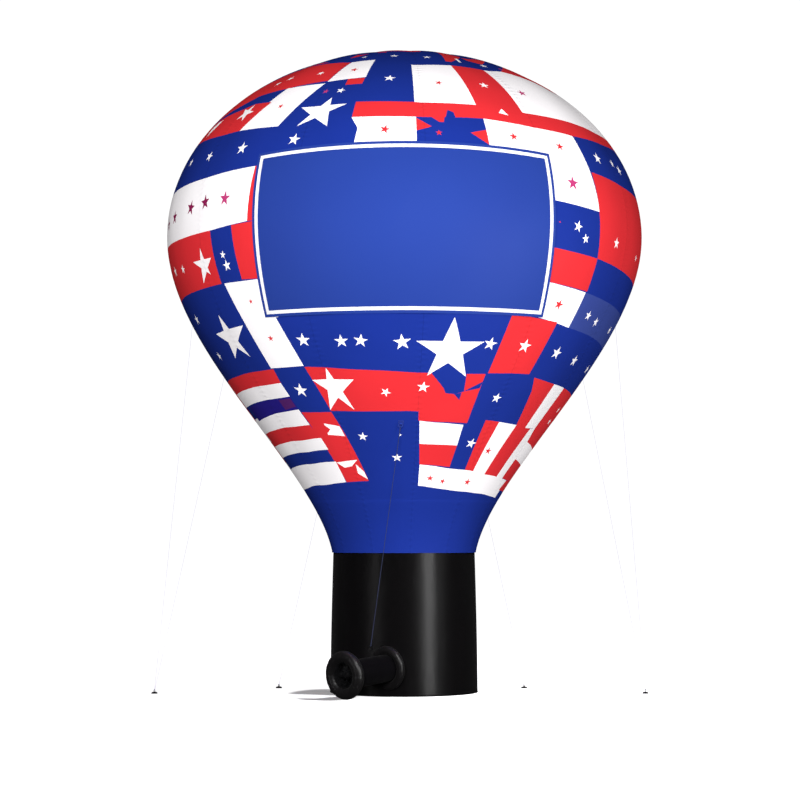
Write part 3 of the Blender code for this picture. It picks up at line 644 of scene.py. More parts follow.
# %% The stars
BIG_STARS = (
    ("white", (13, 4.17), (22.5, 4.40), (19.3, 4.76), (7.1, 4.76), (3.3, 4.41)),
    ("white", (-24.1, 4.67), (-15.8, 4.79), (-17.8, 5.11), (-27.3, 5.11), (-30.1, 4.79)),
    ("white", (-56.6, 4.06), (-47.5, 4.19), (-50.9, 4.51), (-59.2, 4.51), (-62.7, 4.24)),
    ("white", (-55.5, 3.43), (-51.4, 3.53), (-53.2, 3.68), (-57.6, 3.75), (-59.9, 3.54)),
    ("white", (-20.6, 2.01), (-15.4, 2.12), (-19.3, 2.39), (-27.9, 2.36), (-28.9, 2.12)),
)
STARS = (
    ("white", -4.7, 1.12, 0.044, 0),
    ("white", 10.9, 1.15, 0.044, 10),
    ("white", 36.5, 1.28, 0.044, 10),
    ("pink", 44.5, 1.33, 0.040, 0),
    ("white", -19.8, 1.10, 0.036, 0),
    ("white", -4.6, 1.73, 0.056, 5),
    ("white", 25.5, 1.80, 0.052, 10),
    ("red", 10.7, 1.80, 0.040, 20),
    ("pink", 38.8, 1.85, 0.052, 0),
    ("white", -45.6, 1.54, 0.044, 20),
    ("white", -50.3, 1.60, 0.044, 0),
    ("white", -31.7, 1.52, 0.040, 10),
    ("red", -18.3, 1.51, 0.044, 8),
    ("red", -36.5, 2.07, 0.036, 15),
    ("white", -18.8, 1.91, 0.044, 15),
    ("pink", -23.7, 1.90, 0.036, 5),
    ("white", -50.8, 2.07, 0.120, 20),
    ("white", -27.4, 2.51, 0.064, 8),
    ("white", -43, 2.54, 0.068, 0),
    ("white", -56.7, 2.55, 0.056, 15),
    ("white", -68, 2.55, 0.048, 0),
    ("red", -4.6, 2.45, 0.052, 15),
    ("red", 8.4, 2.48, 0.032, 0),
    ("red", 27.5, 2.48, 0.048, 0),
    ("red", 41.1, 2.53, 0.048, 12),
    ("white", 55.2, 2.58, 0.064, 10),
    ("white", 63.9, 2.58, 0.048, 0),
    ("white", 67.6, 2.63, 0.056, 20),
    ("pink", 42.2, 2.89, 0.075, 5),
    ("white", 43.1, 3.28, 0.056, 15),
    ("white", 45.9, 3.38, 0.048, -10),
    ("red", 37.5, 3.26, 0.012, 0),
    ("white", 59, 3.37, 0.056, 0),
    ("white", 74.5, 3.44, 0.035, 10),
    ("red", 42.2, 4.00, 0.056, 15),
    ("white", 55.8, 4.07, 0.052, 10),
    ("white", 61.6, 4.12, 0.052, -10),
    ("white", 75.8, 4.16, 0.048, 0),
    ("pink", -45, 3.02, 0.075, 5),
    ("maroon", -52.7, 3.02, 0.078, -5),
    ("maroon", -59.3, 3.04, 0.078, 10),
    ("maroon", -69.4, 3.08, 0.076, 0),
    ("maroon", -76, 3.12, 0.070, 0),
    ("white", -66.8, 3.58, 0.048, 10),
    ("white", -74.1, 3.57, 0.056, 0),
    ("white", -46.6, 3.52, 0.040, 10),
    ("white", -45.9, 3.62, 0.056, -5),
    ("red", -41.2, 3.97, 0.028, 0),
    ("red", -39, 4.34, 0.036, 10),
    ("white", -71.4, 4.06, 0.056, 0),
    ("white", -69.5, 4.45, 0.048, 15),
    ("white", -28.6, 4.38, 0.072, 5),
    ("white", -17.3, 4.40, 0.068, 0),
    ("white", -11.8, 4.40, 0.068, 10),
    ("white", -0.5, 4.42, 0.084, -5),
    ("white", 24.4, 4.42, 0.068, 8),
    ("white", 35.9, 4.43, 0.072, 5),
    ("white", 49.3, 4.47, 0.068, 10),
    ("white", 61.2, 4.53, 0.064, 0),
    ("white", 77.3, 4.58, 0.056, 10),
    ("white", -35.9, 4.89, 0.076, 10),
    ("white", -6, 4.93, 0.050, 30),
    ("white", 6.2, 4.88, 0.060, 5),
    ("white", 33.1, 4.98, 0.055, 8),
    ("white", 29.6, 5.48, 0.056, 12),
    ("white", -16.9, 5.40, 0.050, 10),
    ("white", -1.5, 5.39, 0.016, 0),
    ("white", -3.2, 5.64, 0.050, 0),
    ("red", 40.4, 5.55, 0.040, 0),
    ("red", 13.5, 5.86, 0.036, 0),
    ("red", 20.6, 5.89, 0.032, 20),
    ("red", 36, 5.90, 0.040, 0),
    ("white", 76.5, 5.05, 0.040, 0),
    ("white", 75.6, 5.19, 0.040, 10),
    ("white", -60, 1.08, 0.090, 0),
    ("red", -63, 0.67, 0.100, 10),
    ("white", -4, 0.62, 0.100, 0),
    ("white", 40, 0.70, 0.110, 12),
    ("white", 66, 0.80, 0.080, -8),
    ("red", -25, 2.95, 0.110, 5),
    ("white", -2, 2.90, 0.180, 0),
    ("white", 23, 2.90, 0.090, 10),
    ("white", 30, 3.40, 0.080, 0),
    ("red", 1, 3.43, 0.110, 8),
    ("white", -26, 3.45, 0.120, -10),
    ("white", -23, 3.90, 0.100, 0),
    ("white", 0, 3.92, 0.090, 0),
    ("red", 26, 3.96, 0.080, 10),
    ("red", 90, 1.30, 0.080, 0),
    ("white", 90, 2.00, 0.080, 0),
    ("white", 90, 2.60, 0.090, 0),
    ("white", 90, 3.10, 0.080, 0),
    ("white", 90, 3.60, 0.080, 0),
    ("white", 90, 4.28, 0.100, 5),
    ("white", 90, 4.95, 0.080, 0),
)
print("stars", len(BIG_STARS) + len(STARS))

# %% [markdown]
# A knife for the flat cloth: bmesh's bisect_plane cuts only the faces it is given, along one line. A
# block is cut along the lines from each corner to the next, and its faces are those that lie on the inner
# side of every line. A five-pointed star is cut along the lines from each point to the next but one, and
# its faces may be on the wrong side of one of them. So one function cuts and dyes both.

# %% Cutting and dyeing
SPREAD = math.radians(EQUATOR.x)
FIRST_SEAM = 5.0
GORE_SWEEP = 30.0
GORE_COLUMNS = 8
CLOTH_TOP = 0.290
CLOTH_FOOT = 6.090
CLOTH_ROWS = 76
CELL = (CLOTH_FOOT - CLOTH_TOP) / CLOTH_ROWS
STAR_POINTS = 5
WELD = 0.0001


def flat(azimuth, down):
    """A place on the flat cloth, in metres at the balloon's widest line."""
    return Vector((azimuth * SPREAD, -down))


def dye_shape(cloth, corners, reach, dye):
    """Cuts a straight-edged shape out of the cloth and dyes it. Its edges join corners reach apart."""
    middle = sum(corners, Vector((0.0, 0.0))) / len(corners)
    low = Vector([min(corner[axis] for corner in corners) - CELL for axis in (0, 1)])
    high = Vector([max(corner[axis] for corner in corners) + CELL for axis in (0, 1)])
    faces = []
    for face in cloth.faces:
        spot = face.calc_center_median()
        if low.x < spot.x < high.x and low.y < spot.y < high.y:
            faces.append(face)
    edges = dict.fromkeys(edge for face in faces for edge in face.edges)
    verts = dict.fromkeys(vert for face in faces for vert in face.verts)
    geometry = [*faces, *edges, *verts]
    lines = []
    for place, start in enumerate(corners):
        end = corners[(place + reach) % len(corners)]
        side = Vector((start.y - end.y, end.x - start.x))
        if side.dot(middle - start) < 0.0:
            side = -side
        lines.append((start, side))
        cut = bmesh.ops.bisect_plane(
            cloth, geom=geometry, dist=WELD, plane_co=(*start, 0.0), plane_no=(*side, 0.0)
        )
        geometry = cut["geom"]
    for face in geometry:
        if isinstance(face, bmesh.types.BMFace):
            spot = face.calc_center_median().xy
            wrong = sum(side.dot(spot - start) < 0.0 for start, side in lines)
            if wrong < reach:
                face.material_index = dye


def star_corners(azimuth, down, radius, tilt):
    """The points of a star on the flat cloth, squeezed so that it is regular once it is on the balloon."""
    middle = flat(azimuth, down)
    squeeze = EQUATOR.x / on_outline(down)[0].x
    corners = []
    for point in range(STAR_POINTS):
        turn = math.radians(tilt) + math.tau * point / STAR_POINTS
        corners.append(middle + radius * Vector((squeeze * math.sin(turn), math.cos(turn))))
    return corners


# %% [markdown]
# Cold-air cloth isn't a perfect turned form. Each gore swells a little between its seams, and the print's
# edges waver where the cloth is gathered towards the neck. Both are small moves that are worked out from
# the place on the cloth, so two neighbouring gores always meet.

# %% Swell and waver
SWELL = 0.010
SEAM_DIP = 0.006
SWELL_FADE_TOP, SWELL_FADE_FOOT = 0.5, 0.6
WAVER_UP, WAVER_DOWN = 0.003, 0.011
WAVER_START, WAVER_GROWTH = 4.2, 1.2
WAVER_FADE_TOP, WAVER_FADE_FOOT = 0.2, 0.1
WAVERS_ROUND, WAVERS_PER_METRE = 5.0, 2.6


def gore_lift(azimuth, down):
    """How far the cloth stands off the outline at a place."""
    across = ((azimuth - FIRST_SEAM) / GORE_SWEEP) % 1.0
    top = min(1.0, max(0.0, (down - CLOTH_TOP) / SWELL_FADE_TOP))
    foot = min(1.0, max(0.0, (CLOTH_FOOT - down) / SWELL_FADE_FOOT))
    return (SWELL * math.sin(math.pi * across) - SEAM_DIP) * top * foot


def waver(azimuth, down):
    """How far the print slides down the cloth at a place."""
    turn = math.radians(azimuth)
    ring = WAVERS_ROUND * Vector((math.sin(turn), math.cos(turn)))
    low = min(1.0, max(0.0, (down - WAVER_START) / WAVER_GROWTH))
    reach = WAVER_UP + (WAVER_DOWN - WAVER_UP) * low
    end = min(1.0, (down - CLOTH_TOP) / WAVER_FADE_TOP, (CLOTH_FOOT - down) / WAVER_FADE_FOOT)
    return reach * end * noise.noise(Vector((*ring, WAVERS_PER_METRE * down)))


def on_gore(azimuth, down, depth=0.0):
    """The point of the swollen cloth at a place, or some depth inside it."""
    return on_skin(azimuth, down, gore_lift(azimuth, down) - depth)


def gore_normal(azimuth, down):
    """The outward direction of the swollen cloth at a place."""
    wide, deep = 0.05, 0.01
    across = on_gore(azimuth + wide, down) - on_gore(azimuth - wide, down)
    along = on_gore(azimuth, down - deep) - on_gore(azimuth, down + deep)
    return across.cross(along).normalized()


# %% [markdown]
# Now the gores themselves. Each one starts as a flat grid with a row of columns between its seams. The
# blocks and stars that touch it are cut and dyed, bmesh's solidify gives the cloth its thickness while it
# is still flat, the maps are laid in metres, and the points are moved onto the balloon. The cuts leave
# faces of many shapes, whose averaged normals would show as flecks in the gloss, so the exact normals are
# given to the mesh.

# %% Sewing a gore
CLOTH_THICKNESS = 0.0025
BATTER = 0.4
TURNS = (-360.0, -180.0, 0.0, 180.0, 360.0)


def touches(corners, left, right):
    """True if a shape reaches between two azimuths of the flat cloth."""
    places = [corner.x / SPREAD for corner in corners]
    return max(places) > left - BATTER and min(places) < right + BATTER


def shapes_on(left, right):
    """The blocks and stars that touch a gore, as corners, reach and dye."""
    dyes = list(DYES)
    found = []
    for reach, shapes in ((1, PATCHES), (2, BIG_STARS)):
        for turn in TURNS:
            for dye, *corners in shapes:
                placed = [flat(azimuth + turn, down) for azimuth, down in corners]
                if touches(placed, left, right):
                    found.append((placed, reach, dyes.index(dye)))
    for turn in TURNS:
        for dye, azimuth, down, radius, tilt in STARS:
            placed = star_corners(azimuth + turn, down, radius, tilt)
            if touches(placed, left, right):
                found.append((placed, 2, dyes.index(dye)))
    return found


def flat_gore(left, right):
    """A gore's cloth, still flat, cut and dyed."""
    cloth = bmesh.new()
    wide = (right - left) * SPREAD
    tall = CLOTH_FOOT - CLOTH_TOP
    middle = flat((left + right) / 2, (CLOTH_TOP + CLOTH_FOOT) / 2)
    place = Matrix.Translation((*middle, 0.0)) @ Matrix.Diagonal((wide, tall, 1.0, 1.0))
    bmesh.ops.create_grid(cloth, x_segments=GORE_COLUMNS, y_segments=CLOTH_ROWS, size=0.5, matrix=place)
    for corners, reach, dye in shapes_on(left, right):
        dye_shape(cloth, corners, reach, dye)
    return cloth


def sew_gore(number):
    """One finished gore."""
    left = FIRST_SEAM - 180.0 + (number - 1) * GORE_SWEEP
    cloth = flat_gore(left, left + GORE_SWEEP)
    for face in cloth.faces:
        if face.normal.z < 0.0:
            face.normal_flip()
    bmesh.ops.solidify(cloth, geom=cloth.faces[:], thickness=CLOTH_THICKNESS)
    top = max(vert.co.z for vert in cloth.verts)
    metres = cloth.loops.layers.uv.new("cloth")
    shares = cloth.loops.layers.uv.new("gore")
    middle = left + GORE_SWEEP / 2
    for face in cloth.faces:
        for loop in face.loops:
            azimuth, down = loop.vert.co.x / SPREAD, -loop.vert.co.y
            width = math.radians(azimuth - middle) * on_outline(down)[0].x
            loop[metres].uv = (width, down)
            loop[shares].uv = ((azimuth - left) / GORE_SWEEP, down)
    out = {}
    for vert in cloth.verts:
        azimuth, down = vert.co.x / SPREAD, -vert.co.y
        down += waver(azimuth, down)
        depth = top - vert.co.z
        vert.co = on_gore(azimuth, down, depth)
        out[vert.index] = gore_normal(azimuth, down) * (1.0 if depth < CLOTH_THICKNESS / 2 else -1.0)
    return cloth, out


def gore_piece(number, node):
    """A finished gore that stands for its CAD node."""
    cloth, out = sew_gore(number)
    normals = []
    for face in cloth.faces:
        face.normal_update()
        rim = abs(face.normal.dot(out[face.verts[0].index])) < 0.5
        normals += [face.normal.copy() if rim else out[loop.vert.index] for loop in face.loops]
    piece = piece_from(cloth, f"gore_{number:02d}", PRINTS, [node])
    piece.data.normals_split_custom_set(normals)
    return piece


print("a gore is cut from", GORE_COLUMNS, "by", CLOTH_ROWS, "faces")

# %% [markdown]
# The twelve gores ride on the CAD's twelve gore nodes. A node's box tells where it stands round the
# balloon, and so which gore takes its place.

# %% Sewing all twelve
GORE_NODES = {}
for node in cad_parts:
    if node.startswith("envelope_gore_"):
        low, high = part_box(node)
        centre = (low + high) / 2
        azimuth = math.degrees(math.atan2(centre.x, -centre.y))
        sweeps = ((azimuth - FIRST_SEAM + 180.0) / GORE_SWEEP) % 12
        GORE_NODES[round(sweeps - 0.5) + 1] = node
GORES = [gore_piece(number, node) for number, node in sorted(GORE_NODES.items())]
print("gores", [count(piece) for piece in GORES])

# %% [markdown]
# A round cap is sewn over the gores' tops, where twelve seams would otherwise meet in a lump. It is one
# disc of cloth with a rolled edge, so its section is a short line along the outline, turned once.

# %% Crown cap
CAP_REACH = 0.325
CAP_STEPS, CAP_SIDES = 8, 96
CAP_LIFT = 0.0065
PLAIN_SHARE = 0.25


def cloth_band(start, end, steps, lift, thickness):
    """The closed section of a strip of cloth along the outline, for turning."""
    places = [start + (end - start) * step / steps for step in range(steps + 1)]
    outer = []
    inner = []
    for down in places:
        spot, out = on_outline(down)
        outer.append(tuple(spot + lift * out))
        inner.append(tuple(spot + (lift - thickness) * out))
    return outer, inner


outer, inner = cloth_band(0.0, CAP_REACH, CAP_STEPS, CAP_LIFT, CLOTH_THICKNESS)
outer[0] = (0.0, outer[0][1])
inner[0] = (0.0, inner[0][1])
cap = turned(outer + inner[::-1], CAP_SIDES, closed=False)
round_map(cap, CAP_REACH, lambda co: math.hypot(co.x, co.y))
gore_layer = cap.loops.layers.uv.new("gore")
for face in cap.faces:
    for loop in face.loops:
        loop[gore_layer].uv = (PLAIN_SHARE, 0.0)
CROWN_CAP = piece_from(cap, "crown_patch", PRINTS[:1], ["crown_cap"])
print(count(CROWN_CAP))

# %% [markdown]
# Below the print the envelope ends in a plain blue skirt. It is one turned band that starts just under
# the gores' lower edge and ends in a hem round the top of the drum.

# %% Skirt
SKIRT_STEPS, SKIRT_SIDES = 13, 144
SKIRT_RADIUS = 0.80
HEM_DROP = 0.003
HEM_RISE = 0.004
HEM_OUT, HEM_FOOT_OUT, HEM_IN = 0.0030, 0.0035, 0.0010
SEAM_LAP, LAP_DEPTH = 0.012, 0.003

outer, inner = cloth_band(CLOTH_FOOT, CLOTH_LENGTH, SKIRT_STEPS, 0.0, CLOTH_THICKNESS)
under, above = cloth_band(CLOTH_FOOT - SEAM_LAP, CLOTH_FOOT, 1, -LAP_DEPTH, CLOTH_THICKNESS)
outer.insert(0, under[0])
inner.insert(0, above[0])
neck = outer[-1]
outer += [(neck[0] + HEM_OUT, neck[1] + HEM_RISE), (neck[0] + HEM_FOOT_OUT, neck[1] - HEM_DROP)]
inner += [(neck[0] + HEM_IN, neck[1] - HEM_DROP)]
skirt = turned(outer + inner[::-1], SKIRT_SIDES)
round_map(skirt, SKIRT_RADIUS)
gore_layer = skirt.loops.layers.uv.new("gore")
for face in skirt.faces:
    middle = face.calc_center_median()
    azimuth = math.degrees(math.atan2(middle.x, -middle.y))
    number = math.floor((azimuth - FIRST_SEAM) / GORE_SWEEP)
    for loop in face.loops:
        place = math.degrees(math.atan2(loop.vert.co.x, -loop.vert.co.y))
        place = azimuth + (place - azimuth + 180.0) % 360.0 - 180.0
        loop[gore_layer].uv = ((place - FIRST_SEAM) / GORE_SWEEP - number, loop.vert.co.z)
SKIRT_NODES = [f"skirt_panel_{panel}" for panel in range(1, 5)]
SKIRT = piece_from(skirt, "plain_skirt", PRINTS[:1], SKIRT_NODES)
print(count(SKIRT))

# %% [markdown]
# The banner is a separate sheet of smoother, slightly paler printed vinyl, held flat against the gores.
# Its white border is a printed line. The sheet is cut flat in the same way, with its sides bowed a
# little, and then wrapped.

# %% Banner
BANNER_TOP, BANNER_FOOT = 2.584, 4.130
TOP_BOW = 0.052
BANNER_MARGIN = 0.028
BANNER_LINE = 0.034
BANNER_LIFT = 0.013
BANNER_THICKNESS = 0.002
BANNER_WIDTH_AT = 3.4
BANNER_COLUMNS, BANNER_ROWS = 24, 18
TOP_SWEEP, SWEEP_IN, SWEEP_OUT = 36.2, 2.3, 4.0
VINYL_PITCH, VINYL_RELIEF = 0.008, 0.0002
LAZY_PER_METRE, LAZY_DEPTH = 0.8, 0.04


def banner_half(share):
    """Half of the banner's sweep in degrees, from its top edge at 0 to its foot at 1."""
    return TOP_SWEEP - SWEEP_IN * share + SWEEP_OUT * share**2


def vinyl(name, low, high):
    """Printed vinyl: a soft gloss over a shallow fabric grain, with long lazy dents."""
    material, tree, shader = new_material(name, {"Roughness": 0.60, "Specular IOR Level": 0.20})
    place = add(tree, "TexCoord").outputs["Object"]
    mottle = add(tree, "TexNoise", {"Vector": place, "Scale": LAZY_PER_METRE, "Detail": 2.0}).outputs["Fac"]
    tone = add(tree, "Mix", {0: mottle, 6: linear(low), 7: linear(high)}, data_type="RGBA").outputs[2]
    tree.links.new(tone, shader.inputs["Base Color"])
    wide = add(tree, "Bump", {"Height": mottle, "Strength": 0.35, "Distance": LAZY_DEPTH}).outputs["Normal"]
    grain = cloth_height(tree, VINYL_PITCH)
    fine = add(tree, "Bump", {"Height": grain, "Strength": 0.3, "Distance": VINYL_RELIEF, "Normal": wide})
    tree.links.new(fine.outputs["Normal"], shader.inputs["Normal"])
    return material


def make_banner():
    """The banner sheet, cut flat in shares of its width and height, then wrapped onto the gores."""
    wide = 2 * math.radians(banner_half(0.5)) * on_outline(BANNER_WIDTH_AT)[0].x
    tall = BANNER_FOOT - BANNER_TOP
    sheet = bmesh.new()
    bmesh.ops.create_grid(
        sheet,
        x_segments=BANNER_COLUMNS,
        y_segments=BANNER_ROWS,
        size=0.5,
        matrix=Matrix.Diagonal((wide, tall, 1.0, 1.0)),
    )
    for margin in (BANNER_MARGIN, BANNER_MARGIN + BANNER_LINE):
        for axis, half in ((0, wide / 2 - margin), (1, tall / 2 - margin)):
            for sign in (-1.0, 1.0):
                side = Vector((0.0, 0.0, 0.0))
                side[axis] = sign
                bmesh.ops.bisect_plane(
                    sheet,
                    geom=[*sheet.faces, *sheet.edges, *sheet.verts],
                    dist=WELD,
                    plane_co=side * half,
                    plane_no=side,
                )
    for face in sheet.faces:
        spot = face.calc_center_median()
        inset = min(wide / 2 - abs(spot.x), tall / 2 - abs(spot.y))
        face.material_index = 1 if BANNER_MARGIN < inset < BANNER_MARGIN + BANNER_LINE else 0
        if face.normal.z < 0.0:
            face.normal_flip()
    bmesh.ops.solidify(sheet, geom=sheet.faces[:], thickness=BANNER_THICKNESS)
    top = max(vert.co.z for vert in sheet.verts)
    layer = sheet.loops.layers.uv.new("cloth")
    for face in sheet.faces:
        for loop in face.loops:
            loop[layer].uv = loop.vert.co.xy
    for vert in sheet.verts:
        share = 0.5 - vert.co.y / tall
        aside = vert.co.x / (wide / 2)
        down = BANNER_TOP + share * tall + TOP_BOW * aside**2 * (1.0 - share)
        vert.co = on_skin(aside * banner_half(share), down, BANNER_LIFT - (top - vert.co.z))
    return sheet, (wide, tall)


sheet, banner_size = make_banner()
BANNER_VINYL = [
    vinyl("printed_vinyl_blue", "#213787", "#263F92"),
    vinyl("printed_vinyl_white", "#ECEBED", "#F4F3F4"),
]
BANNER = piece_from(sheet, "banner_sheet", BANNER_VINYL, ["banner_panel"])
print(count(BANNER), "cut", [round(side, 3) for side in banner_size])

# %% [markdown]
# The drum is a tube of coated nylon that the air keeps round, with four upright seams and a rolled foot.
# A turned line gives its skin. Where the duct enters, the faces inside the collar are taken out before
# solidify closes the rims. The panels swell a few millimetres between their seams.

# %% Drum
DRUM_TOP = 1.325
DRUM_FOOT_RADIUS, DRUM_TOP_RADIUS = 0.702, 0.675
DRUM_SEAM = -60.0
DRUM_SIDES = 144
DRUM_WALL = 0.003
FOOT_ROLL = ((-0.007, 0.0005), (-0.002, 0.004), (0.0, 0.010), (0.0, 0.022), (0.0, 0.040))
ROW_START, ROW_PITCH = 0.070, 0.0405
HEM_HEIGHT, HEM_START, HEM_GAP = 0.020, 1.312, 0.0005
PANEL_SWELL, PANEL_DIP = 0.003, 0.001
GATHER, GATHERS_PER_DEGREE, GATHERS_PER_METRE = 0.0016, 0.22, 2.0
INLET = Vector((-0.5347, -1.1000, 0.2224))
PORT = Vector((-0.1536, -0.6830, 0.2637))
DUCT_LENGTH = (PORT - INLET).length
DUCT_AXIS = (PORT - INLET).normalized()
PORT_CLEAR, PORT_DEPTH = 0.105, 0.5


def drum_radius(height):
    """The drum's outer radius at a height."""
    return DRUM_FOOT_RADIUS + (DRUM_TOP_RADIUS - DRUM_FOOT_RADIUS) * height / DRUM_TOP


def make_drum():
    """The drum's skin."""
    line = [(drum_radius(height) + out, height) for out, height in FOOT_ROLL]
    rows = math.ceil((DRUM_TOP - HEM_HEIGHT - ROW_START) / ROW_PITCH)
    for height in [ROW_START + ROW_PITCH * row for row in range(rows)]:
        line.append((drum_radius(height), height))
    line += [(drum_radius(HEM_START), HEM_START), (drum_radius(DRUM_TOP), DRUM_TOP - HEM_GAP)]
    drum = turned(line, DRUM_SIDES, closed=False)
    for vert in drum.verts:
        azimuth = math.degrees(math.atan2(vert.co.x, -vert.co.y))
        across = ((azimuth - DRUM_SEAM) / 90.0) % 1.0
        height = vert.co.z / DRUM_TOP
        bulge = math.sin(math.pi * height)
        swell = PANEL_SWELL * math.sin(math.pi * across) ** 0.5 * bulge - PANEL_DIP
        spot = Vector((azimuth * GATHERS_PER_DEGREE, 0.0, GATHERS_PER_METRE * vert.co.z))
        out = Vector((vert.co.x, vert.co.y, 0.0)).normalized()
        vert.co += out * (swell + GATHER * noise.noise(spot) * (1.0 - bulge))
    entry = []
    for face in drum.faces:
        spot = face.calc_center_median() - PORT
        aside = spot - DUCT_AXIS * spot.dot(DUCT_AXIS)
        if aside.length < PORT_CLEAR and spot.dot(DUCT_AXIS) < PORT_DEPTH:
            entry.append(face)
    bmesh.ops.delete(drum, geom=entry, context="FACES")
    face_outwards(drum)
    bmesh.ops.solidify(drum, geom=drum.faces[:], thickness=DRUM_WALL)
    round_map(drum, DRUM_FOOT_RADIUS)
    return drum


WALL_NODES = [f"base_wall_{wall}" for wall in range(1, 5)]
DRUM = piece_from(make_drum(), "drum_wall", [DRUM_CLOTH], WALL_NODES)
print(count(DRUM))

# %% [markdown]
# The duct and everything in it is turned round the duct's own axis, so it is made standing up at the
# origin and then placed with one matrix. The sleeve is a short tube of the same black nylon, a little
# fuller in the middle.

# %% Duct sleeve
LEVEL = Vector((0, 0, 1)).cross(DUCT_AXIS).normalized()
RISE = DUCT_AXIS.cross(LEVEL)
DUCT_PLACE = Matrix.Translation(INLET) @ Matrix((LEVEL, RISE, DUCT_AXIS)).transposed().to_4x4()
SEAT_GAP = 0.0003
SLEEVE_RADIUS, SLEEVE_WALL = 0.125, 0.003
SLEEVE_START, SLEEVE_PAST = 0.018, 0.085
SLEEVE_STEPS, SLEEVE_SIDES = 24, 72
SLEEVE_SWELL, RIDGE_DEPTH, RIDGES = 0.004, 0.0022, 2.5
RING_MAJOR, RING_MINOR = 0.1684, 0.0545
COLLAR_MINOR = 0.040
COLLAR_MAJOR = SLEEVE_RADIUS + COLLAR_MINOR + SEAT_GAP


def place_on_duct(bm):
    """Moves a shape that was made standing at the origin onto the duct."""
    bmesh.ops.transform(bm, matrix=DUCT_PLACE, verts=bm.verts)
    return bm


line = []
for step in range(SLEEVE_STEPS + 1):
    share = step / SLEEVE_STEPS
    ridge = RIDGE_DEPTH * math.sin(math.tau * RIDGES * share) ** 2
    radius = SLEEVE_RADIUS - 0.001 + SLEEVE_SWELL * math.sin(math.pi * share) - ridge
    line.append((radius, SLEEVE_START + share * (DUCT_LENGTH + SLEEVE_PAST - SLEEVE_START)))
inner = [(radius - SLEEVE_WALL, height) for radius, height in reversed(line)]
sleeve = turned(line + inner, SLEEVE_SIDES)
round_map(sleeve, SLEEVE_RADIUS)
SLEEVE = piece_from(
    place_on_duct(sleeve), "duct_sleeve", [SLEEVE_CLOTH], ["inflation_sleeve"]
)
print(count(SLEEVE))

# %% [markdown]
# The inlet ring and the collar are padded rolls, sewn from short lengths of coated nylon. Each starts as
# a turned ring, slightly slim. Its seams are pinned, cloth simulation with pressure swells the lengths
# between them, and the result is kept within a few millimetres of the roll. One subdivision smooths it.

# %% Padded rolls
ROLL_PRESSURE = 4.0
ROLL_FRAMES = 20
ROLL_POINTS, LENGTH_STEPS = 28, 8
ROLL_SLIM, SEAM_PINCH, SWELL_CAP = 0.0015, 0.0025, 0.004
SEAM_SHARE = 0.01


def swell_roll(piece, seams):
    """Swells a roll between its pinned seams with cloth simulation, and applies the result."""
    group = piece.vertex_groups.new(name="seams")
    group.add(seams, 1.0, "REPLACE")
    before = [vert.co.copy() for vert in piece.data.vertices]
    cloth = piece.modifiers.new("air", "CLOTH")
    cloth.settings.use_pressure = True
    cloth.settings.uniform_pressure_force = ROLL_PRESSURE
    cloth.settings.effector_weights.gravity = 0.0
    cloth.settings.vertex_group_mass = "seams"
    cloth.settings.quality = 6
    cloth.point_cache.frame_end = ROLL_FRAMES
    for number in range(1, ROLL_FRAMES + 1):
        bpy.context.scene.frame_set(number)
    swollen = piece.evaluated_get(bpy.context.evaluated_depsgraph_get())
    for vert, start, end in zip(piece.data.vertices, before, swollen.data.vertices):
        move = end.co - start
        vert.co = start + move * min(1.0, SWELL_CAP / max(move.length, 1e-9))
    piece.modifiers.remove(cloth)
    bpy.context.scene.frame_set(1)
    piece.vertex_groups.clear()
    smooth = piece.modifiers.new("smooth", "SUBSURF")
    smooth.levels = 1
    smooth.render_levels = 1
    moves = [(vert.co - start).length for vert, start in zip(piece.data.vertices, before)]
    print(piece.name, "moved by at most", round(1000 * max(moves), 1), "mm")


def padded_roll(name, major, minor, lengths, along, node):
    """A padded roll round the duct's axis."""
    line = []
    for point in range(ROLL_POINTS):
        turn = math.tau * point / ROLL_POINTS
        line.append((major + minor * math.cos(turn), along - minor * math.sin(turn)))
    roll = turned(line, lengths * LENGTH_STEPS)
    layer = roll.loops.layers.uv.new("cloth")
    for face in roll.faces:
        middle = face.calc_center_median()
        turn = math.atan2(middle.y, middle.x)
        ring = Vector((major * math.cos(turn), major * math.sin(turn), along))
        for loop in face.loops:
            spot = Matrix.Rotation(-turn, 3, "Z") @ loop.vert.co
            round_turn = turn + math.atan2(spot.y, spot.x)
            section = math.atan2(middle.z - ring.z, middle.xy.length - major)
            exact = math.atan2(loop.vert.co.z - along, loop.vert.co.xy.length - major)
            exact = section + (exact - section + math.pi) % math.tau - math.pi
            loop[layer].uv = (round_turn * major, exact * minor)
    seams = []
    for vert in roll.verts:
        share = (math.atan2(vert.co.y, vert.co.x) / math.tau * lengths) % 1.0
        if min(share, 1.0 - share) < SEAM_SHARE:
            seams.append(vert.index)
            ring = Vector((vert.co.x, vert.co.y, 0.0)).normalized() * major + Vector((0, 0, along))
            vert.co = ring + (vert.co - ring) * (1.0 - SEAM_PINCH / minor)
    piece = piece_from(place_on_duct(roll), name, [PAD_CLOTH], [node])
    swell_roll(piece, seams)
    return piece


RING = padded_roll("inlet_roll", RING_MAJOR, RING_MINOR - ROLL_SLIM, 12, 0.0, "inlet_ring")
COLLAR = padded_roll("collar_roll", COLLAR_MAJOR, COLLAR_MINOR - ROLL_SLIM, 10, DUCT_LENGTH, "port_collar")
print(count(RING), count(COLLAR))

# %% [markdown]
# Inside the inlet ring sits the blower: a moulded barrel with a rolled lip, a welded wire guard, a
# five-bladed impeller on a finned motor, and a bracket with four arms. The CAD gives their places along
# the duct.

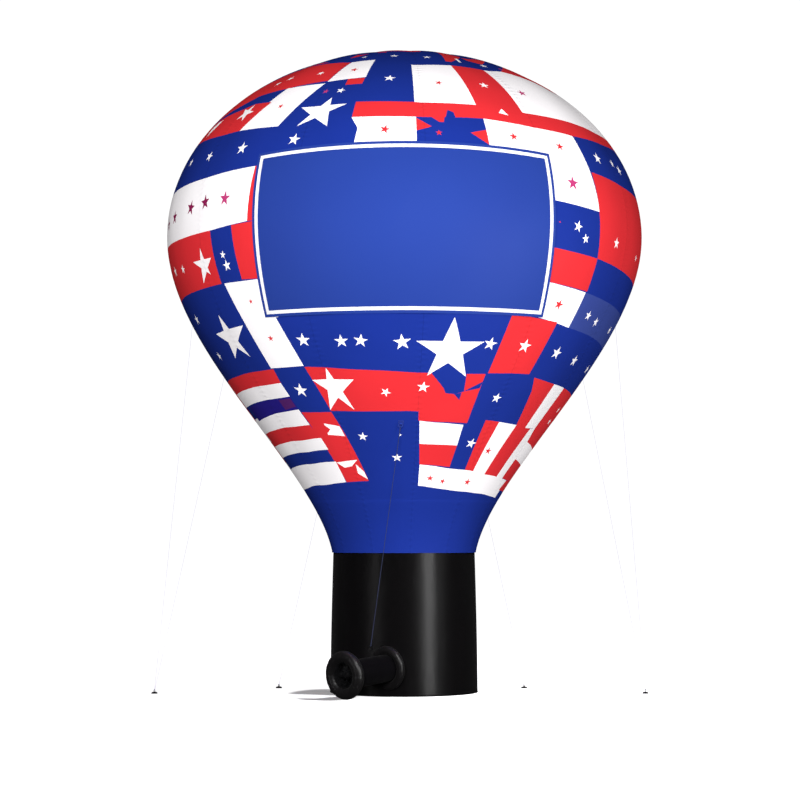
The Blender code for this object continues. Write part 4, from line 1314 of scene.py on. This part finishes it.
# %% Blower barrel and finger guard
BARREL_RADIUS = RING_MAJOR - RING_MINOR - SEAT_GAP
BARREL_BORE = BARREL_RADIUS - 0.003
BARREL_BACK = 0.215
BARREL_SIDES = 64
lip = [
    (BARREL_RADIUS, BARREL_BACK),
    (BARREL_RADIUS, -0.012),
    (BARREL_RADIUS + 0.0025, -0.0165),
    (BARREL_RADIUS + 0.0020, -0.0195),
    (BARREL_RADIUS - 0.0010, -0.0205),
    (BARREL_BORE + 0.0004, -0.0185),
    (BARREL_BORE, -0.0140),
    (BARREL_BORE, BARREL_BACK),
]
barrel = turned(lip, BARREL_SIDES)
BARREL = piece_from(place_on_duct(barrel), "barrel_moulding", [PLASTIC], ["blower_barrel"])

WIRE = 0.002
WIRE_SIDES, WIRE_STEPS = 8, 48
GUARD_BARS = 3
GUARD_RADII = (0.030, 0.056, 0.082, BARREL_BORE - SEAT_GAP - WIRE)


def wire_ring(bm, radius, wire, sides, steps):
    """Adds a ring of round wire, turned round the Z axis, to a bmesh."""
    line = []
    for side in range(sides):
        turn = math.tau * side / sides
        line.append(bm.verts.new((radius + wire * math.cos(turn), 0.0, wire * math.sin(turn))))
    edges = [bm.edges.new(pair) for pair in zip(line, line[1:] + line[:1])]
    bmesh.ops.spin(
        bm, geom=line + edges, cent=(0, 0, 0), axis=(0, 0, 1), angle=math.tau, steps=steps, use_merge=True
    )


guard = bmesh.new()
for radius in GUARD_RADII:
    wire_ring(guard, radius, WIRE, WIRE_SIDES, WIRE_STEPS)
for bar in range(GUARD_BARS):
    turn = math.pi * (bar + 0.5) / GUARD_BARS
    lie = Matrix.Rotation(turn, 4, "Z") @ Matrix.Rotation(math.pi / 2, 4, "X")
    bmesh.ops.create_cone(
        guard,
        cap_ends=True,
        segments=WIRE_SIDES,
        radius1=WIRE,
        radius2=WIRE,
        depth=2 * GUARD_RADII[-1],
        matrix=lie,
    )
bmesh.ops.recalc_face_normals(guard, faces=guard.faces)
GUARD = piece_from(place_on_duct(guard), "wire_guard", [STEEL], ["finger_guard"])
print(count(BARREL), count(GUARD))

# %% [markdown]
# A moulded impeller has blades that twist and narrow towards their tips. Each blade is a small grid, bent
# with a pitch that eases from the hub to the tip, then given its thickness. It rides on the impeller's
# body, so it turns with the joint.

# %% Impeller
HUB_RADIUS = 0.032
HUB_FRONT, HUB_BACK = 0.015, 0.060
HUB_SIDES = 40
SHAFT_RADIUS = 0.006
BLADES = 5
BLADE_ROOT, BLADE_TIP = 0.026, 0.105
BLADE_COLUMNS, BLADE_ROWS = 10, 6
ROOT_CHORD, CHORD_SWELL, CHORD_TAPER = 0.040, 0.010, 0.006
ROOT_PITCH, PITCH_EASE = 46.0, 16.0
CAMBER = 0.004
BLADE_THICKNESS = 0.0022


def add_blade(bm, turn):
    """Adds one twisted blade to the impeller."""
    blade = bmesh.new()
    bmesh.ops.create_grid(blade, x_segments=BLADE_COLUMNS, y_segments=BLADE_ROWS, size=0.5)
    for vert in blade.verts:
        out = vert.co.x + 0.5
        chord = vert.co.y * (ROOT_CHORD + CHORD_SWELL * math.sin(math.pi * out) - CHORD_TAPER * out)
        pitch = math.radians(ROOT_PITCH - PITCH_EASE * out)
        camber = CAMBER * (1.0 - 4.0 * vert.co.y**2)
        radius = BLADE_ROOT + out * (BLADE_TIP - BLADE_ROOT)
        aside = chord * math.cos(pitch) - camber * math.sin(pitch)
        height = chord * math.sin(pitch) + camber * math.cos(pitch)
        vert.co = (radius, aside, height + (HUB_FRONT + HUB_BACK) / 2)
    bmesh.ops.solidify(blade, geom=blade.faces[:], thickness=BLADE_THICKNESS)
    bmesh.ops.rotate(blade, cent=(0, 0, 0), matrix=Matrix.Rotation(turn, 3, "Z"), verts=blade.verts)
    join_in(bm, blade)


hub_line = [
    (0.0, HUB_BACK),
    (HUB_RADIUS, HUB_BACK),
    (HUB_RADIUS, HUB_FRONT + 0.012),
    (HUB_RADIUS - 0.003, HUB_FRONT + 0.006),
    (HUB_RADIUS - 0.009, HUB_FRONT + 0.0018),
    (HUB_RADIUS - 0.018, HUB_FRONT),
    (SHAFT_RADIUS, HUB_FRONT),
    (SHAFT_RADIUS, HUB_FRONT + 0.003),
    (0.0, HUB_FRONT + 0.003),
]
impeller = turned(hub_line, HUB_SIDES, closed=False)
for number in range(BLADES):
    add_blade(impeller, math.tau * number / BLADES)
bmesh.ops.recalc_face_normals(impeller, faces=impeller.faces)
IMPELLER = piece_from(
    place_on_duct(impeller), "impeller_moulding", [PLASTIC], ["impeller"], body="impeller"
)
print(count(IMPELLER))

# %% [markdown]
# The motor's body is a turned casting with cooling rings cut round it. The bracket is a flat band with
# four arms, rounded with bmesh's bevel.

# %% Motor and bracket
MOTOR_RADIUS = 0.048
MOTOR_FRONT, MOTOR_BACK = 0.080, 0.190
MOTOR_SIDES = 48
GROOVES, GROOVE_PITCH, GROOVE_START = 6, 0.011, 0.014
GROOVE_FLOOR, GROOVE_SLOPE, GROOVE_WIDE = 0.0445, 0.0015, 0.008
BOSS_RADIUS, BOSS_RISE = 0.012, 0.003
BAND_INNER, BAND_OUTER = 0.0483, 0.0553
BAND_FRONT, BAND_BACK = 0.100, 0.112
ARMS, ARM_WIDE, ARM_DEEP, ARM_SOFT = 4, 0.005, 0.010, 0.0008
ARM_INNER, ARM_OUTER = 0.052, BARREL_BORE - 0.0014

motor_line = [
    (0.0, MOTOR_BACK),
    (0.040, MOTOR_BACK),
    (0.0455, MOTOR_BACK - 0.002),
    (MOTOR_RADIUS, MOTOR_BACK - 0.007),
]
for groove in range(GROOVES):
    start = MOTOR_BACK - GROOVE_START - groove * GROOVE_PITCH
    motor_line += [
        (MOTOR_RADIUS, start),
        (GROOVE_FLOOR, start - GROOVE_SLOPE),
        (GROOVE_FLOOR, start - GROOVE_WIDE + GROOVE_SLOPE),
        (MOTOR_RADIUS, start - GROOVE_WIDE),
    ]
motor_line += [
    (MOTOR_RADIUS, MOTOR_FRONT + 0.004),
    (MOTOR_RADIUS - 0.004, MOTOR_FRONT),
    (BOSS_RADIUS, MOTOR_FRONT),
    (BOSS_RADIUS - 0.001, MOTOR_FRONT - BOSS_RISE),
    (SHAFT_RADIUS, MOTOR_FRONT - BOSS_RISE),
    (SHAFT_RADIUS, HUB_BACK + SEAT_GAP),
    (0.0, HUB_BACK + SEAT_GAP),
]
motor = turned(motor_line, MOTOR_SIDES, closed=False)
MOTOR = piece_from(place_on_duct(motor), "motor_casting", [STEEL], ["motor"])

bracket_line = [
    (BAND_OUTER, BAND_BACK),
    (BAND_OUTER, BAND_FRONT),
    (BAND_INNER, BAND_FRONT),
    (BAND_INNER, BAND_BACK),
]
bracket = turned(bracket_line, MOTOR_SIDES)
for arm in range(ARMS):
    size = Matrix.Diagonal((ARM_OUTER - ARM_INNER, ARM_WIDE, ARM_DEEP, 1.0))
    middle = ((ARM_OUTER + ARM_INNER) / 2, 0, (BAND_FRONT + BAND_BACK) / 2)
    lie = Matrix.Rotation(math.tau * arm / ARMS, 4, "Z") @ Matrix.Translation(middle)
    soften(bracket, bmesh.ops.create_cube(bracket, size=1.0, matrix=lie @ size), ARM_SOFT)
BRACKET = piece_from(place_on_duct(bracket), "bracket_casting", [STEEL], ["motor_bracket"])
print(count(MOTOR), count(BRACKET))

# %% [markdown]
# Two CAD nodes already have the right shape: the floor panel and the cable gland. They stay, and only
# their material changes.

# %% Better materials on kept nodes
KEPT = {"base_floor": DRUM_CLOTH, "cable_gland": PLASTIC}
for name, material in KEPT.items():
    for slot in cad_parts[name].material_slots:
        slot.material = material
print("kept nodes", sorted(KEPT))

# %% [markdown]
# The taut lines are 5 mm thick. Those at the sides and the back are white braided cord, and the front one
# is drawn nylon in slate, which hardly shows on the blue cloth. Each end is an eye splice: a small loop
# round the wire of its ring, and a tight whipping below. A line's CAD node tells where it starts and ends,
# so it is a straight tube between those places, and the loop is a turned ring.

# %% Taut lines
LINE_RADIUS = 0.0025
RING_REACH, RING_WIRE = 0.018, 0.0035
WHIPPING_START, WHIPPING_END, WHIPPING_FAT = 0.003, 0.030, 1.4
SPLICE_THIN = 0.8
LINE_SIDES = 12
CORD_SIDES, CORD_STEPS = 10, 32


def line_ends(name):
    """The upper and lower end of a taut line, from its CAD node."""
    spots = [vert.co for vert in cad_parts[name].data.vertices]
    middle = sum(spots, Vector()) / len(spots)
    upper = [spot for spot in spots if spot.z > middle.z]
    lower = [spot for spot in spots if spot.z <= middle.z]
    return sum(upper, Vector()) / len(upper), sum(lower, Vector()) / len(lower)


def basis(place, first, second, third):
    """The matrix that lays a shape's three axes along three directions at a place."""
    return Matrix.Translation(place) @ Matrix((first, second, third)).transposed().to_4x4()


def add_tube(bm, start, end, radius):
    """Adds a straight round tube between two places."""
    run = end - start
    lie = Matrix.Translation((start + end) / 2) @ run.to_track_quat("Z", "Y").to_matrix().to_4x4()
    bmesh.ops.create_cone(
        bm, cap_ends=True, segments=LINE_SIDES, radius1=radius, radius2=radius, depth=run.length, matrix=lie
    )


def add_ring(bm, radius, wire, lie):
    """Adds a ring of round wire or cord, laid by a matrix."""
    ring = bmesh.new()
    wire_ring(ring, radius, wire, CORD_SIDES, CORD_STEPS)
    bmesh.ops.recalc_face_normals(ring, faces=ring.faces)
    bmesh.ops.transform(ring, matrix=lie, verts=ring.verts)
    join_in(bm, ring)


def make_line(name):
    """A taut line with an eye splice at each end."""
    line = bmesh.new()
    upper, lower = line_ends(name)
    add_tube(line, upper, lower, LINE_RADIUS)
    cord = SPLICE_THIN * LINE_RADIUS
    for end, other in ((upper, lower), (lower, upper)):
        run = (other - end).normalized()
        add_tube(line, end + run * WHIPPING_START, end + run * WHIPPING_END, WHIPPING_FAT * LINE_RADIUS)
        aside = run.cross(Vector((end.x, end.y, 0.0))).normalized()
        lie = basis(end - run * (RING_WIRE + SEAT_GAP), run, aside.cross(run), aside)
        add_ring(line, RING_WIRE + SEAT_GAP + cord, cord, lie)
    material = SLATE_LINE if name == "tether_line_front" else CORD
    return piece_from(line, name.replace("tether", "taut"), [material], [name])


LINE_NODES = sorted(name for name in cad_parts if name.startswith("tether_line_"))
LINES = [make_line(name) for name in LINE_NODES]
print("lines", [count(piece) for piece in LINES])

# %% [markdown]
# A ground foot is a moulded disc with a steel eye. The disc is a short turned outline with soft edges.
# The eye stands in the plane of its lines, so that they pull along it and not across.

# %% Ground feet
FOOT_LINE = (
    (0.0, 0.0005),
    (0.0300, 0.0005),
    (0.0318, 0.0015),
    (0.0318, 0.0030),
    (0.0250, 0.0140),
    (0.0232, 0.0157),
    (0.0165, 0.0157),
    (0.0150, 0.0167),
    (0.0, 0.0167),
)
FOOT_SIDES = 48
EYE_REACH, EYE_HEIGHT = 0.011, 0.0255
NEAR_FOOT = 0.1


def make_foot(name):
    """A ground foot with its eye, in place."""
    low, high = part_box(name)
    centre = Vector(((low.x + high.x) / 2, (low.y + high.y) / 2, 0.0))
    foot = turned(FOOT_LINE, FOOT_SIDES, closed=False)
    moulded = len(foot.faces)
    ends = [line_ends(line) for line in LINE_NODES]
    runs = [(lower - upper).normalized() for upper, lower in ends if (lower - centre).length < NEAR_FOOT]
    side = runs[0].cross(runs[1] if len(runs) > 1 else Vector((0, 0, 1))).normalized()
    level = side.orthogonal().normalized()
    add_ring(foot, EYE_REACH, RING_WIRE, basis((0.0, 0.0, EYE_HEIGHT), level, side.cross(level), side))
    finish_from(foot, moulded, 1)
    bmesh.ops.translate(foot, verts=foot.verts, vec=centre)
    return piece_from(foot, name.replace("anchor", "foot"), [PLASTIC, STEEL], [name])


FEET = [make_foot(name) for name in sorted(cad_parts) if name.startswith("ground_anchor_")]
print("feet", [count(piece) for piece in FEET])

# %% [markdown]
# A tether tab is a patch of webbing, box stitched to the cloth, with a short loop that holds a D-ring of
# coated wire. All eight are alike, so one function makes them: blue on the envelope, and black on the
# drum. The line's CAD node tells where the ring is and which way it pulls. A stitch is a small plain
# block, since there are hundreds.

# %% Tether tabs
TAB_LONG, TAB_WIDE, TAB_THICK = 0.070, 0.050, 0.0022
TAB_COLUMNS, TAB_ROWS = 8, 6
DRUM_LIFT = 0.003
LOOP_RADIUS, LOOP_WIDE, LOOP_LIFT = 0.0066, 0.032, 0.0085
LOOP_SIDES = 16
SOFT_EDGE = 0.0012
STITCH_INSET, STITCH_LIFT = 0.006, 0.0026
STITCH_LONG, STITCH_WIDE, STITCH_THICK = 0.0042, 0.0013, 0.0010
STITCH_PITCH = 0.0056


def patch_at(middle):
    """The nearest place on the envelope or the drum, and the outward direction there."""
    azimuth = math.degrees(math.atan2(middle.x, -middle.y))
    if middle.z < DRUM_TOP:
        out = Vector((middle.x, middle.y, 0.0)).normalized()
        return out * (drum_radius(middle.z) + DRUM_LIFT) + Vector((0, 0, middle.z)), out
    down = metres_down(middle.z)
    return on_gore(azimuth, down), gore_normal(azimuth, down)


def add_stitches(bm, seat, along, aside, out):
    """Sews a box of stitches round the edge of a tab."""
    reach = TAB_LONG / 2 - STITCH_INSET, TAB_WIDE / 2 - STITCH_INSET
    for axis in (0, 1):
        steps = round(2 * reach[axis] / STITCH_PITCH)
        size = [STITCH_WIDE, STITCH_WIDE, STITCH_THICK]
        size[axis] = STITCH_LONG
        for step in range(steps):
            for sign in (-1, 1):
                spot = [sign * reach[0], sign * reach[1]]
                spot[axis] = reach[axis] * (2 * (step + 0.5) / steps - 1)
                on, _ = patch_at(seat + along * spot[0] + aside * spot[1])
                lie = basis(on + out * STITCH_LIFT, along, aside, out) @ Matrix.Diagonal((*size, 1.0))
                bmesh.ops.create_cube(bm, size=1.0, matrix=lie)


def make_tab(name, line, ring_end):
    """A tab with its loop and D-ring, in place."""
    ends = line_ends(line)
    pull = (ends[1 - ring_end] - ends[ring_end]).normalized()
    ring_middle = ends[ring_end] - pull * (RING_REACH + RING_WIRE)
    seat, out = patch_at(ring_middle - pull * RING_REACH)
    aside = out.cross(pull).normalized()
    along = aside.cross(out)
    tab = bmesh.new()
    bmesh.ops.create_grid(
        tab,
        x_segments=TAB_COLUMNS,
        y_segments=TAB_ROWS,
        size=0.5,
        matrix=Matrix.Diagonal((TAB_LONG, TAB_WIDE, 1.0, 1.0)),
    )
    for vert in tab.verts:
        on, _ = patch_at(seat + along * vert.co.x + aside * vert.co.y)
        vert.co = on + out * TAB_THICK
    bmesh.ops.recalc_face_normals(tab, faces=tab.faces)
    bmesh.ops.solidify(tab, geom=tab.faces[:], thickness=TAB_THICK)
    loop = basis(seat + out * LOOP_LIFT, along, aside, out)
    made = bmesh.ops.create_cone(
        tab,
        cap_ends=True,
        segments=LOOP_SIDES,
        radius1=LOOP_RADIUS,
        radius2=LOOP_RADIUS,
        depth=LOOP_WIDE,
        matrix=loop @ Matrix.Rotation(math.pi / 2, 4, "X"),
    )
    soften(tab, made, SOFT_EDGE)
    strap_faces = len(tab.faces)
    add_ring(tab, RING_REACH, RING_WIRE, basis(ring_middle, pull, aside, pull.cross(aside)))
    ring_faces = len(tab.faces)
    add_stitches(tab, seat, along, aside, out)
    finish_from(tab, strap_faces, 1)
    finish_from(tab, ring_faces, 2)
    finishes = [DARK_STRAP, STEEL, DARK_STRAP] if seat.z < DRUM_TOP else [STRAP, COATED, THREAD]
    return piece_from(tab, name.replace("tether_tab", "strap_tab"), finishes, [name])


TABS = []
for name in sorted(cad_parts):
    if name.startswith("tether_tab_"):
        on_base = name.endswith("_base")
        line = "tether_line_front" if on_base else name.replace("tab", "line")
        TABS.append(make_tab(name, line, 1 if on_base else 0))
print("tabs", [count(piece) for piece in TABS])

# %% [markdown]
# At the back, a zip lets the air out. Its flap is a strip of black webbing with a row of zinc plated
# teeth down the middle, and a slider with a pull at the top. The teeth are many, so each is a plain small
# block, made in a loop.

# %% Zip
ZIP_AZIMUTH = 176.25
ZIP_LOW, ZIP_HIGH = 0.35, 0.95
ZIP_HALF, ZIP_THICK = 0.030, 0.002
ZIP_COLUMNS, ZIP_ROWS = 4, 14
ZIP_LIFT, ZIP_GAUGE = 0.0035, 0.70
TEETH = 60
TOOTH_SIZE = (0.008, 0.003, 0.004)
TOOTH_LIFT, TOOTH_ASIDE = 0.003, 0.2
TEETH_START, TEETH_SHORT = 0.02, 0.05
SLIDER_LIFT = 0.007
SLIDER = (0.022, (0.018, 0.008, 0.026))
PULL = (0.052, (0.010, 0.003, 0.040))


def on_drum(azimuth, height, lift):
    """A point of the drum's skin."""
    turn = math.radians(azimuth)
    radius = drum_radius(height) + ZIP_LIFT + lift
    return Vector((radius * math.sin(turn), -radius * math.cos(turn), height))


def make_zip():
    """The flap, teeth and slider."""
    flap = bmesh.new()
    bmesh.ops.create_grid(
        flap,
        x_segments=ZIP_COLUMNS,
        y_segments=ZIP_ROWS,
        size=0.5,
        matrix=Matrix.Diagonal((1.0, ZIP_HIGH - ZIP_LOW, 1.0, 1.0)),
    )
    sweep = math.degrees(2 * ZIP_HALF / ZIP_GAUGE)
    for vert in flap.verts:
        height = vert.co.y + (ZIP_LOW + ZIP_HIGH) / 2
        vert.co = on_drum(ZIP_AZIMUTH + vert.co.x * sweep, height, 0.0)
    face_outwards(flap)
    bmesh.ops.solidify(flap, geom=flap.faces[:], thickness=-ZIP_THICK)
    turn = Matrix.Rotation(math.radians(ZIP_AZIMUTH), 4, "Z")
    webbing = len(flap.faces)
    for tooth in range(TEETH):
        height = ZIP_LOW + TEETH_START + (ZIP_HIGH - ZIP_LOW - TEETH_SHORT) * tooth / (TEETH - 1)
        side = TOOTH_ASIDE if tooth % 2 else -TOOTH_ASIDE
        place = Matrix.Translation(on_drum(ZIP_AZIMUTH + side, height, TOOTH_LIFT))
        bmesh.ops.create_cube(flap, size=1.0, matrix=place @ turn @ Matrix.Diagonal((*TOOTH_SIZE, 1.0)))
    for drop, size in (SLIDER, PULL):
        place = Matrix.Translation(on_drum(ZIP_AZIMUTH, ZIP_HIGH - drop, SLIDER_LIFT))
        lie = place @ turn @ Matrix.Diagonal((*size, 1.0))
        soften(flap, bmesh.ops.create_cube(flap, size=1.0, matrix=lie), SOFT_EDGE)
    finish_from(flap, webbing, 1)
    return flap


ZIP = piece_from(make_zip(), "zip_closure", [DARK_STRAP, ZINC], ["deflation_zip"])
print(count(ZIP))

# %% [markdown]
# The studio stands round the object and is no part of it. The floor is a pale matt disc that reaches far
# beyond every view. It glows white, so that it melts into the background, but for a soft oval at the
# front left, where the shadow shows.

# %% Floor
FLOOR_RADIUS, FLOOR_SIDES, FLOOR_DROP = 70.0, 96, 0.001
SPECKS_PER_METRE = 3.0
SHADE_CENTRE = (-0.76, -0.40, 0.0)
SHADE_SIZE = (0.38, 0.90, 1.0)
SHADE_EDGE, SHADE_GLOW = 0.75, 0.24
floor_material, tree, shader = new_material(
    "studio_floor_matt", {"Roughness": 0.9, "Specular IOR Level": 0.1}
)
place = add(tree, "TexCoord").outputs["Object"]
speck = add(tree, "TexNoise", {"Vector": place, "Scale": SPECKS_PER_METRE}).outputs["Fac"]
tone = add(tree, "Mix", {0: speck, 6: linear("#F4F4F6"), 7: linear("#F8F8F9")}, data_type="RGBA").outputs[2]
tree.links.new(tone, shader.inputs["Base Color"])
oval = add(
    tree,
    "Mapping",
    {"Vector": place, "Location": SHADE_CENTRE, "Scale": SHADE_SIZE},
    vector_type="TEXTURE",
)
away = add(tree, "VectorMath", {0: oval.outputs["Vector"]}, operation="LENGTH").outputs["Value"]
glow = add(
    tree,
    "MapRange",
    {"Value": away, "From Min": SHADE_EDGE, "From Max": 1.0, "To Min": SHADE_GLOW, "To Max": 1.0},
    interpolation_type="SMOOTHSTEP",
).outputs["Result"]
tree.links.new(glow, shader.inputs["Emission Strength"])
shader.inputs["Emission Color"].default_value = (1.0, 1.0, 1.0, 1.0)

ground = bmesh.new()
bmesh.ops.create_circle(ground, cap_ends=True, segments=FLOOR_SIDES, radius=FLOOR_RADIUS)
mesh = bpy.data.meshes.new("floor")
ground.to_mesh(mesh)
ground.free()
mesh.materials.append(floor_material)
floor = bpy.data.objects.new("floor", mesh)
floor.location.z = -FLOOR_DROP
floor.visible_glossy = False
floor.visible_diffuse = False
bpy.context.scene.collection.objects.link(floor)
print("floor", FLOOR_RADIUS, "m")

# %% [markdown]
# The sky is one even tone. The camera sees it a little brighter than white, so the background is clean.
# The object gets only a faint light from it, and no gloss mirrors it, or the black drum would look grey.

# %% Sky
SKY_LIGHT, SKY_SEEN = 0.10, 1.05
world = bpy.data.worlds.new("studio")
world.use_nodes = True
bpy.context.scene.world = world
sky = world.node_tree.nodes["Background"]
seen = add(world.node_tree, "LightPath").outputs["Is Camera Ray"]
power = add(world.node_tree, "MapRange", {"Value": seen, "To Min": SKY_LIGHT, "To Max": SKY_SEEN})
world.node_tree.links.new(power.outputs["Result"], sky.inputs["Strength"])
sky.inputs["Color"].default_value = (1.0, 1.0, 1.0, 1.0)
world.cycles_visibility.glossy = False
print("sky", SKY_LIGHT, SKY_SEEN)

# %% [markdown]
# The key is a big soft light in front, a little to the left. Two weak fills stand low on both sides. A
# tall narrow box on the right draws the long highlight down the drum, and a thin weak one on the left
# draws a fainter one. One lamp lights the two padded rolls alone and one the floor alone. Two stand
# behind, for views of the back. Only the four that are named boxes show in gloss, so that the drum
# mirrors narrow shapes and stays black between them.
#
# Each row of the table holds a name, the azimuth in degrees, the distance and height in metres, the width
# and length in metres, the watts, the height it aims at in metres, whether it shows in gloss, and what it
# lights.

# %% Lights
LIGHTS = (
    ("key", -4.0, 14.0, 5.6, 6.0, 6.0, 2450.0, 3.6, False, "all_but_floor"),
    ("left_fill", -42.0, 13.0, 1.6, 5.0, 3.0, 110.0, 2.6, False, "all_but_floor"),
    ("right_fill", 52.0, 13.0, 0.9, 5.0, 1.5, 340.0, 1.9, False, "all_but_floor"),
    ("floor_side", 60.0, 6.0, 7.0, 1.0, 1.0, 1200.0, 0.2, False, "floor_only"),
    ("right_box", 39.0, 7.0, 1.8, 0.90, 4.5, 155.0, 1.2, True, "all_but_floor"),
    ("left_box", -45.0, 8.0, 1.5, 0.4, 4.0, 18.0, 1.0, True, "all_but_floor"),
    ("roll_box", 12.0, 8.0, 6.5, 3.0, 3.0, 270.0, 0.3, True, "rolls_only"),
    ("back_fill", 180.0, 14.0, 5.0, 6.0, 6.0, 1300.0, 3.0, False, "all_but_floor"),
    ("back_box", 180.0, 8.0, 1.6, 0.6, 4.0, 60.0, 1.0, True, "all_but_floor"),
)
LINKS = {}
LIT = (
    ("floor_only", "INCLUDE", [floor]),
    ("all_but_floor", "EXCLUDE", [floor]),
    ("rolls_only", "INCLUDE", [RING, COLLAR]),
)
for name, state, things in LIT:
    LINKS[name] = bpy.data.collections.new(name)
    for index, thing in enumerate(things):
        LINKS[name].objects.link(thing)
        LINKS[name].collection_objects[index].light_linking.link_state = state
for name, azimuth, away, height, wide, tall, watts, aim, shows, lit in LIGHTS:
    lamp = bpy.data.lights.new(name, "AREA")
    lamp.shape = "RECTANGLE"
    lamp.size, lamp.size_y = wide, tall
    lamp.energy = watts
    lamp_object = bpy.data.objects.new(name, lamp)
    lamp_object.visible_glossy = shows
    turn = math.radians(azimuth)
    lamp_object.location = (away * math.sin(turn), -away * math.cos(turn), height)
    direction = Vector((0.0, 0.0, aim)) - lamp_object.location
    lamp_object.rotation_euler = direction.to_track_quat("-Z", "Y").to_euler()
    lamp_object.light_linking.receiver_collection = LINKS[lit]
    bpy.context.scene.collection.objects.link(lamp_object)
print("lights", len(LIGHTS))
